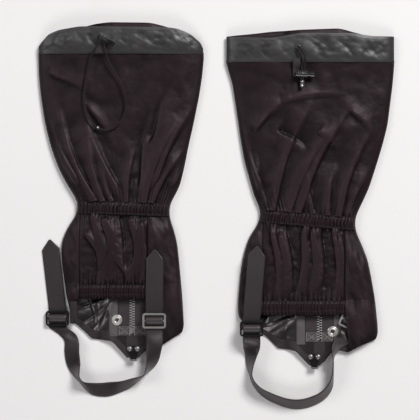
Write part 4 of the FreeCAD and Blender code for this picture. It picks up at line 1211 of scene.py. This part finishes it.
def make_zip(leg):
    """Tapes, moulded teeth, box stitches and the wind flap."""
    n = leg.n
    (_, foot, z0), (_, top, z1) = leg.box["zip_tapes"]
    parts = []
    for side in (-1, 1):
        wide = np.linspace(0, 1, 10)[None, :]
        up = np.linspace(0, 1, 220)[:, None]
        x = leg.zip_x + side * (3.0 + 17.4 * wide) * MM + 0 * up
        y = foot + (top - foot) * up + 0 * wide
        z = z0 + 0.75 * MM + np.exp(-((wide - 0.02) / 0.08) ** 2) * 0.35 * MM \
            + np.sin(up * 190 + side) * 0.12 * MM * wide
        points = np.stack([x, y, z + 0 * x], axis=2)
        parts.append(sheet_object("tape", outward(points, -side), MATERIALS["zip_tape"]))
    tapes = join(n + "zip_tape_pair", parts)
    thicken(tapes, 0.5 * MM)
    put(tapes, n + "gaiter", "zip_tape", n + "zip_tapes")
    (_, low, _), (_, high, t1) = leg.box["zip_teeth"]
    level = t1 - 0.5 * MM
    lines = []
    for side in (-1, 1):
        shift = 0.0 if side < 0 else 1.8 * MM
        ys = np.linspace(low + 1 * MM + shift, high - 1 * MM, 3)
        lines.append([(leg.zip_x + side * 1.9 * MM, y, level) for y in ys])
    teeth = repeated(n + "zip_chain", lines, "tooth", 3.6 * MM, "zip_teeth", 1)
    put(teeth, n + "gaiter", "zip_teeth", n + "zip_teeth")
    tacks = []
    for side in (-1, 1):
        x0, x1 = leg.zip_x + side * 3.6 * MM, leg.zip_x + side * 18.5 * MM
        y0, y1 = foot + 1.2 * MM, foot + 13.0 * MM
        z = z1 + 0.75 * MM
        ring = [(x0, y0, z), (x1, y0, z), (x1, y1, z), (x0, y1, z), (x0, y0, z)]
        tacks += [ring, [(x0, y0, z), (x1, y1, z)], [(x0, y1, z), (x1, y0, z)]]
        for k in range(1, 7):
            y = y0 + (y1 - y0) * k / 7
            tacks.append([(x0, y, z), (x1, y, z)])
    put(repeated(n + "box_stitches", tacks, "stitch", 2.7 * MM, "pale_thread", 2), n + "gaiter", "zip_tape")
    (x0, y0, z0), (x1, y1, _) = leg.box["flap"]
    wide = np.linspace(0, 1, 16)[None, :]
    up = np.linspace(0, 1, 160)[:, None]
    x = x0 + (x1 - x0) * wide + 0 * up
    y = y0 + (y1 - y0) * up + 0 * wide
    points = np.stack([x, y, z0 + 0.3 * MM + np.sin(up * 60 + wide * 3) * 0.15 * MM], axis=2)
    flap = sheet_object(n + "flap_cloth", points[:, ::-1], MATERIALS["leg_cloth"], cloth_wall())
    put(flap, n + "flap", "leg_cloth", n + "flap")


def smooth_ribbon(pairs, steps, cols):
    """A flat ribbon through pairs of edge points, in millimetres."""
    low = np.array([a for a, _ in pairs], float)[:, None, :]
    high = np.array([b for _, b in pairs], float)[:, None, :]
    ends = refine(np.concatenate([low, high], axis=1), steps)[:, [0, -1]] * MM
    across = np.linspace(0, 1, cols)[None, :, None]
    return ends[:, :1] * (1 - across) + ends[:, -1:] * across


def adjuster_pairs(end, flip):
    """Edge points of the webbing over one adjuster's middle bar and on to its tail's tip."""
    (at, turn, tip, lean) = end
    a, b = math.radians(turn), math.radians(lean)
    along, across = np.array([-math.sin(a), math.cos(a), 0]), np.array([math.cos(a), math.sin(a), 0])
    tail = np.array([math.cos(b), math.sin(b), 0])
    at, tip = np.array(at, float), np.array(tip, float)
    pairs = []
    for y, z in ((-13, -4.0), (-7.6, -3.6), (-4.8, 0.6), (-2.8, 2.8), (0, 3.3), (2.8, 2.8), (4.8, 0.6), (7.6, -3.6),
                 (13, -3.6)):
        mid = at + along * y + np.array([0, 0, z])
        pairs.append((mid - across * STRAP_HALF, mid + across * STRAP_HALF))
    start = at + along * 13 + np.array([0, 0, -3.8])
    for f in (0.25, 0.5, 0.75, 0.88, 0.94):
        mid = start + (tip - start) * f
        width = across * (1 - f) + tail * f
        width /= np.linalg.norm(width)
        pairs.append((mid - width * STRAP_HALF, mid + width * STRAP_HALF))
    pairs.append((tip - tail * STRAP_HALF, tip + tail * STRAP_HALF))
    return [(b, a) for a, b in pairs] if flip else pairs


def make_studs(leg):
    """Press stud ring, and the two domed rivets of the lace hook."""
    n = leg.n
    low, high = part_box(n + "stud_post")
    x, y = (low[0] + high[0]) / 2 / MM, (low[1] + high[1]) / 2 / MM
    top = high[2] / MM
    ring = [(2.6, -1.4), (2.7, -0.6), (3.3, 0.0), (4.2, 0.15), (4.8, -0.25), (5.6, -0.3), (6.4, 0.05), (7.1, 0.0),
            (7.7, -0.5), (7.8, -1.1), (7.2, -1.5), (2.6, -1.4)]
    ob = lathe(n + "stud_ring", ring, (x, y, top), (0, 0, 1), "stud_metal", 64)
    put(ob, n + "gaiter", "stud_metal", n + "stud_post")
    socket = [(2.75, -0.9), (2.4, -1.2), (1.2, -1.3), (0.3, -1.0), (0.01, -0.95)]
    put(lathe(n + "stud_socket", socket[::-1], (x, y, top), (0, 0, 1), "zip_metal", 40), n + "gaiter", "stud_metal")
    low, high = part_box(n + "rivets")
    domes = []
    for side in (-1, 1):
        at = ((low[0] + high[0]) / 2 / MM + side * 5.4, (low[1] + high[1]) / 2 / MM + 1.0, high[2] / MM + 0.7)
        dome = [(0.01, 1.0), (1.4, 0.9), (2.7, 0.5), (3.6, -0.2), (4.0, -1.0), (4.1, -1.5), (3.8, -1.7), (3.8, -3.4)]
        domes.append(lathe("dome", dome, at, (0, 0, 1), "rivet_metal", 36))
    put(join(n + "hook_rivets", domes), n + "gaiter", "hook_metal", n + "rivets")


def make_strap(leg):
    """One length of webbing, tail to tail, through both adjusters and under the boot."""
    n = leg.n
    first = adjuster_pairs(ADJUSTERS[leg.side][0], False)[::-1]
    second = adjuster_pairs(ADJUSTERS[leg.side][1], True)
    pairs = first + STRAPS[leg.side] + second
    points = smooth_ribbon(pairs, 7, 11)
    for end in (0, -1):
        away = np.linalg.norm(points.mean(axis=1) - points[end].mean(axis=0), axis=1)
        middle = points.mean(axis=1, keepdims=True)
        half = np.linalg.norm(points[:, 0] - points[:, -1], axis=1) / 2
        wanted = np.minimum(STRAP_HALF * MM, 1.2 * MM + away * 0.85)
        taper = np.where(away < 0.05, wanted / np.maximum(half, 1e-6), 1.0)
        points = middle + (points - middle) * np.where(away < 0.05, taper, 1.0)[:, None, None]
    ob = sheet_object(n + "strap_webbing", points, MATERIALS["webbing"])
    thicken(ob, 1.4 * MM, 0.0)
    put(ob, n + "gaiter", "webbing", n + "strap")
    parts = []
    middle = (leg.seams[0] + leg.seams[1]) / 2
    for side in (-1, 1):
        part = Cut(n + "tabs")
        part.tris = part.tris[(part.tris[:, :, 0].mean(axis=1) - middle) * side > 0]
        across = part.tris[..., 0]
        xs = np.linspace(across.min() + 0.3 * MM, across.max() - 0.3 * MM, 22)
        grid = np.empty((12, 22, 3))
        for j, x in enumerate(xs):
            pts = part.at(0, x)
            y0, y1 = pts[:, 1].min(), pts[:, 1].max()
            for i in range(12):
                y = y0 + (y1 - y0) * i / 11
                nearby = pts[np.abs(pts[:, 1] - y) < (y1 - y0) * 0.3]
                grid[i, j] = (x, y, nearby[:, 2].max() if len(nearby) else pts[:, 2].max())
        parts.append(sheet_object("tab", grid, MATERIALS["tape"]))
    ob = join(n + "strap_tabs", parts)
    thicken(ob, 1.0 * MM)
    put(ob, n + "gaiter", "webbing", n + "tabs")


def curve_object(name, points, radius, material):
    """A round cord through points, in millimetres."""
    data = bpy.data.curves.new(name, "CURVE")
    data.dimensions = "3D"
    line = data.splines.new("NURBS")
    line.points.add(len(points) - 1)
    for p, co in zip(line.points, points):
        p.co = (co[0] * MM, co[1] * MM, co[2] * MM, 1.0)
    line.order_u = 3
    line.use_endpoint_u = True
    line.resolution_u = 14
    data.bevel_depth = radius * MM
    data.bevel_resolution = 5
    data.use_fill_caps = True
    data.materials.append(MATERIALS[material])
    return link(bpy.data.objects.new(name, data))


def make_cords(leg):
    """The free drawcords, their crimps, the eyelet they leave by and the tape of the cord lock."""
    n, side = leg.n, leg.side
    if side == "left":
        profile = [(1.5, -0.2), (2.1, 0.0), (2.4, 0.3), (2.3, 1.2), (1.9, 1.6), (2.3, 2.0), (2.4, 2.9), (2.1, 3.2),
                   (1.5, 3.4)]
        crimp = lathe("left_cord_crimp", profile, (-170.6, 127.1, 23.2), (0.8406, -0.5417, 0), "crimp")
        cord = curve_object("left_drawcord", CORD_ROUTES["left_cord"], 1.3, "cord")
        put(cord, "left_gaiter", "cord", "left_cord")
    else:
        profile = [(1.2, 9.6), (2.4, 9.5), (3.2, 9.0), (3.4, 8.0), (3.0, 7.2), (3.0, 3.0), (3.4, 2.2), (3.4, 0.6),
                   (3.0, 0.0), (1.2, -0.1)]
        crimp = lathe("right_cord_crimp", profile, (122, 193.2, 26.2), (0, -1, -0.05), "crimp")
        for letter in "ab":
            route = CORD_ROUTES["right_cord_" + letter]
            cord = curve_object("right_drawcord_" + letter, route, 1.3, "cord")
            put(cord, "right_gaiter", "cord", "right_cord")
    put(crimp, n + "gaiter", "crimp", n + "crimp")
    ring = [(1.9, 0.1), (2.3, 0.7), (3.2, 0.8), (3.9, 0.3), (4.0, -0.3), (2.0, -0.4), (1.9, 0.1)]
    eyelet = lathe(n + "cord_eyelet", ring, (*EXITS[side], EYELET_Z), (0, 0, 1), "hook_metal")
    put(eyelet, n + "gaiter", "hook_metal")
    tab = smooth_ribbon(LOCK_TABS[side], 6, 9)
    tab[..., 2] += 0.1 * MM
    ob = sheet_object(n + "lock_tape", tab[:, ::-1] if side == "right" else tab, MATERIALS["tape"])
    thicken(ob, 0.9 * MM, 0.0)
    put(ob, n + "gaiter", "tape", n + "lock_tab")


def make_lock_ribs(leg):
    """Grip rings round the barrel of the cord lock, coloured lighter as a painted highlight."""
    body = frame["nodes"][leg.n + "lock_body"]
    corners = np.array([body.matrix_world @ v.co for v in body.data.vertices]) / MM
    press = np.array(LOCK_PRESS[leg.side])
    centre = (corners.max(axis=0) + corners.min(axis=0)) / 2
    away = corners - centre
    along = away @ press
    radius = np.percentile(np.linalg.norm(away - along[:, None] * press, axis=1), 60)
    rings = []
    for k in range(5):
        h = (k - 2) * 0.15 * np.ptp(along)
        ring = [(radius - 0.6, h - 0.6), (radius + 0.2, h - 0.55), (radius + 0.5, h), (radius + 0.2, h + 0.55),
                (radius - 0.6, h + 0.6), (radius - 0.6, h - 0.6)]
        rings.append(lathe("ring", ring, tuple(centre), press, "lock_rib", 32))
    put(join(leg.n + "lock_grip_rings", rings), leg.n + "gaiter", "lock_plastic")


def dress_frame_parts():
    """Hard parts of the frame keep their shape and take their finish."""
    finishes = {"zip_slider": "zip_metal", "zip_puller": "zip_metal", "stud_cap": "stud_metal",
                "lace_hook": "buckle_a", "buckle_a": "buckle_a",
                "buckle_b": "buckle_b", "lock_body": "lock_plastic", "lock_plunger": "lock_plastic",
                "lock_spring": "hook_metal"}
    for side in SIDES:
        for name, finish in finishes.items():
            ob = frame["nodes"][side + "_" + name]
            ob.data.materials.clear()
            ob.data.materials.append(MATERIALS[finish])
        spring, press = frame["nodes"][side + "_lock_spring"], LOCK_PRESS[side]
        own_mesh(spring)


def make_camera():
    """Straight above the pair, far off, with a long lens."""
    data = bpy.data.cameras.new("Camera")
    data.lens = 180
    data.sensor_width = 36
    data.clip_end = 20
    camera = link(bpy.data.objects.new("Camera", data))
    camera.location = (-0.0094, 0.0086, 3.02)
    bpy.context.scene.camera = camera


def make_stage():
    """Pale floor, dim world and three soft lamps; also removes the small solids that were repeated."""
    floor_mat, tree = new_material("Matt paper sweep")
    where = node(tree, "ShaderNodeTexCoord").outputs["Object"]
    shader = node(tree, "ShaderNodeBsdfPrincipled", {"Base Color": tone(tree, where, "efecec", "f2efef", 1.5),
                                                     "Roughness": 0.9, "Specular IOR Level": 0.1})
    finish_material(tree, shader)
    floor = mesh_object("Floor", [(-4, -4, -0.0002), (4, -4, -0.0002), (4, 4, -0.0002), (-4, 4, -0.0002)],
                        [(0, 1, 2, 3)], floor_mat, smooth=False)
    world = bpy.data.worlds.new("Studio")
    world.use_nodes = True
    world.node_tree.nodes["Background"].inputs["Color"].default_value = (0.96, 0.97, 1.0, 1.0)
    world.node_tree.nodes["Background"].inputs["Strength"].default_value = 0.1
    bpy.context.scene.world = world
    bpy.context.scene.view_settings.view_transform = "Standard"
    sizes = bpy.context.scene.gaiter_settings
    for name, place, size, power in (("Key", (1.5, 2.1, 2.9), 1.3, sizes.key_power),
                                     ("Fill", (-2.4, 0.9, 2.6), 1.5, sizes.fill_power),
                                     ("Foot", (0.1, -2.7, 2.6), 1.5, sizes.fill_power)):
        data = bpy.data.lights.new(name, "AREA")
        data.size = size
        data.energy = power
        lamp = link(bpy.data.objects.new(name, data))
        lamp.location = place
        lamp.rotation_euler = (Vector((0, 0, 0)) - Vector(place)).to_track_quat("-Z", "Y").to_euler()
    for ob in STAMPS.values():
        mesh = ob.data
        bpy.data.objects.remove(ob)
        bpy.data.meshes.remove(mesh)
    STAMPS.clear()


# ---------------------------------------------------------------- the add-on

class GaiterSettings(bpy.types.PropertyGroup):
    cloth_thickness: bpy.props.FloatProperty(
        name="Cloth thickness", description="Wall of each coated panel", default=0.0004, min=0.0001, max=0.002,
        unit="LENGTH", subtype="DISTANCE")
    key_power: bpy.props.FloatProperty(
        name="Key light", description="Power of the main soft light", default=128.0, min=0.0, unit="POWER")
    fill_power: bpy.props.FloatProperty(
        name="Fill lights", description="Power of each of the two weaker lights", default=29.0, min=0.0, unit="POWER")


def make_hardware(leg):
    """The zip and the metal fixings beside it."""
    make_zip(leg)
    make_studs(leg)


def both(make):
    """Makes a piece for each gaiter, and stops if nothing came of it."""
    for side in SIDES:
        if side not in LEGS:
            raise RuntimeError("the camera and finishes come first")
        before = len(bpy.data.objects)
        make(LEGS[side])
        if len(bpy.data.objects) <= before:
            raise RuntimeError(f"{make.__name__} made nothing for the {side} gaiter")


class GAITER_OT_camera(bpy.types.Operator):
    """Sets the camera above the pair and mixes the finishes."""
    bl_idname = "gaiter.camera"
    bl_label = "Camera and finishes"

    def execute(self, context):
        make_camera()
        make_materials()
        for side in SIDES:
            LEGS[side] = Leg(side)
        return {"FINISHED"}


class GAITER_OT_cords(bpy.types.Operator):
    """Lays the drawcords with their crimps, eyelets and lock tapes."""
    bl_idname = "gaiter.cords"
    bl_label = "Drawcords"

    def execute(self, context):
        both(make_cords)
        return {"FINISHED"}


class GAITER_OT_legs(bpy.types.Operator):
    """Makes the far and near layers of the leg above the waist."""
    bl_idname = "gaiter.legs"
    bl_label = "Leg cloth"

    def execute(self, context):
        both(make_under)
        both(make_calf_back)
        return {"FINISHED"}


class GAITER_OT_bands(bpy.types.Operator):
    """Makes the folded top bands."""
    bl_idname = "gaiter.bands"
    bl_label = "Top bands"

    def execute(self, context):
        both(make_band)
        return {"FINISHED"}


class GAITER_OT_casings(bpy.types.Operator):
    """Makes the gathered waist and heel casings."""
    bl_idname = "gaiter.casings"
    bl_label = "Casings"

    def execute(self, context):
        both(make_waist)
        both(make_heel)
        return {"FINISHED"}


class GAITER_OT_ankles(bpy.types.Operator):
    """Makes the gathered ankle and its side panels."""
    bl_idname = "gaiter.ankles"
    bl_label = "Ankles"

    def execute(self, context):
        both(make_ankle)
        return {"FINISHED"}


class GAITER_OT_insteps(bpy.types.Operator):
    """Makes the coated instep and its hem facing."""
    bl_idname = "gaiter.insteps"
    bl_label = "Insteps"

    def execute(self, context):
        both(make_instep)
        return {"FINISHED"}


class GAITER_OT_zips(bpy.types.Operator):
    """Makes the zip tapes, teeth, box stitches, flap, studs and rivets."""
    bl_idname = "gaiter.zips"
    bl_label = "Zips"

    def execute(self, context):
        both(make_hardware)
        return {"FINISHED"}


class GAITER_OT_straps(bpy.types.Operator):
    """Makes the foot straps and their tabs."""
    bl_idname = "gaiter.straps"
    bl_label = "Foot straps"

    def execute(self, context):
        both(make_strap)
        return {"FINISHED"}


class GAITER_OT_metalware(bpy.types.Operator):
    """Gives the hard parts of the frame their finishes."""
    bl_idname = "gaiter.metalware"
    bl_label = "Metal and moulded parts"

    def execute(self, context):
        dress_frame_parts()
        both(make_lock_ribs)
        return {"FINISHED"}


class GAITER_OT_stage(bpy.types.Operator):
    """Sets the floor and the lights."""
    bl_idname = "gaiter.stage"
    bl_label = "Floor and lights"

    def execute(self, context):
        make_stage()
        if context.scene.camera is None or context.scene.world is None:
            raise RuntimeError("the stage has no camera or no world")
        return {"FINISHED"}


OPERATORS = (GAITER_OT_camera, GAITER_OT_cords, GAITER_OT_legs, GAITER_OT_bands, GAITER_OT_casings,
             GAITER_OT_ankles, GAITER_OT_insteps, GAITER_OT_zips, GAITER_OT_straps, GAITER_OT_metalware,
             GAITER_OT_stage)


class GAITER_PT_panel(bpy.types.Panel):
    """Buttons that build the pair piece by piece."""
    bl_idname = "GAITER_PT_panel"
    bl_label = "Gaiters"
    bl_space_type = "VIEW_3D"
    bl_region_type = "UI"
    bl_category = "Gaiters"

    def draw(self, context):
        for operator in OPERATORS:
            self.layout.operator(operator.bl_idname)


CLASSES = (GaiterSettings, *OPERATORS, GAITER_PT_panel)


def register():
    for item in CLASSES:
        bpy.utils.register_class(item)
    bpy.types.Scene.gaiter_settings = bpy.props.PointerProperty(type=GaiterSettings)


def unregister():
    del bpy.types.Scene.gaiter_settings
    for item in reversed(CLASSES):
        bpy.utils.unregister_class(item)


def main():
    register()
    for operator in OPERATORS:
        group, name = operator.bl_idname.split(".")
        getattr(getattr(bpy.ops, group), name)()


if __name__ == "__main__":
    main()
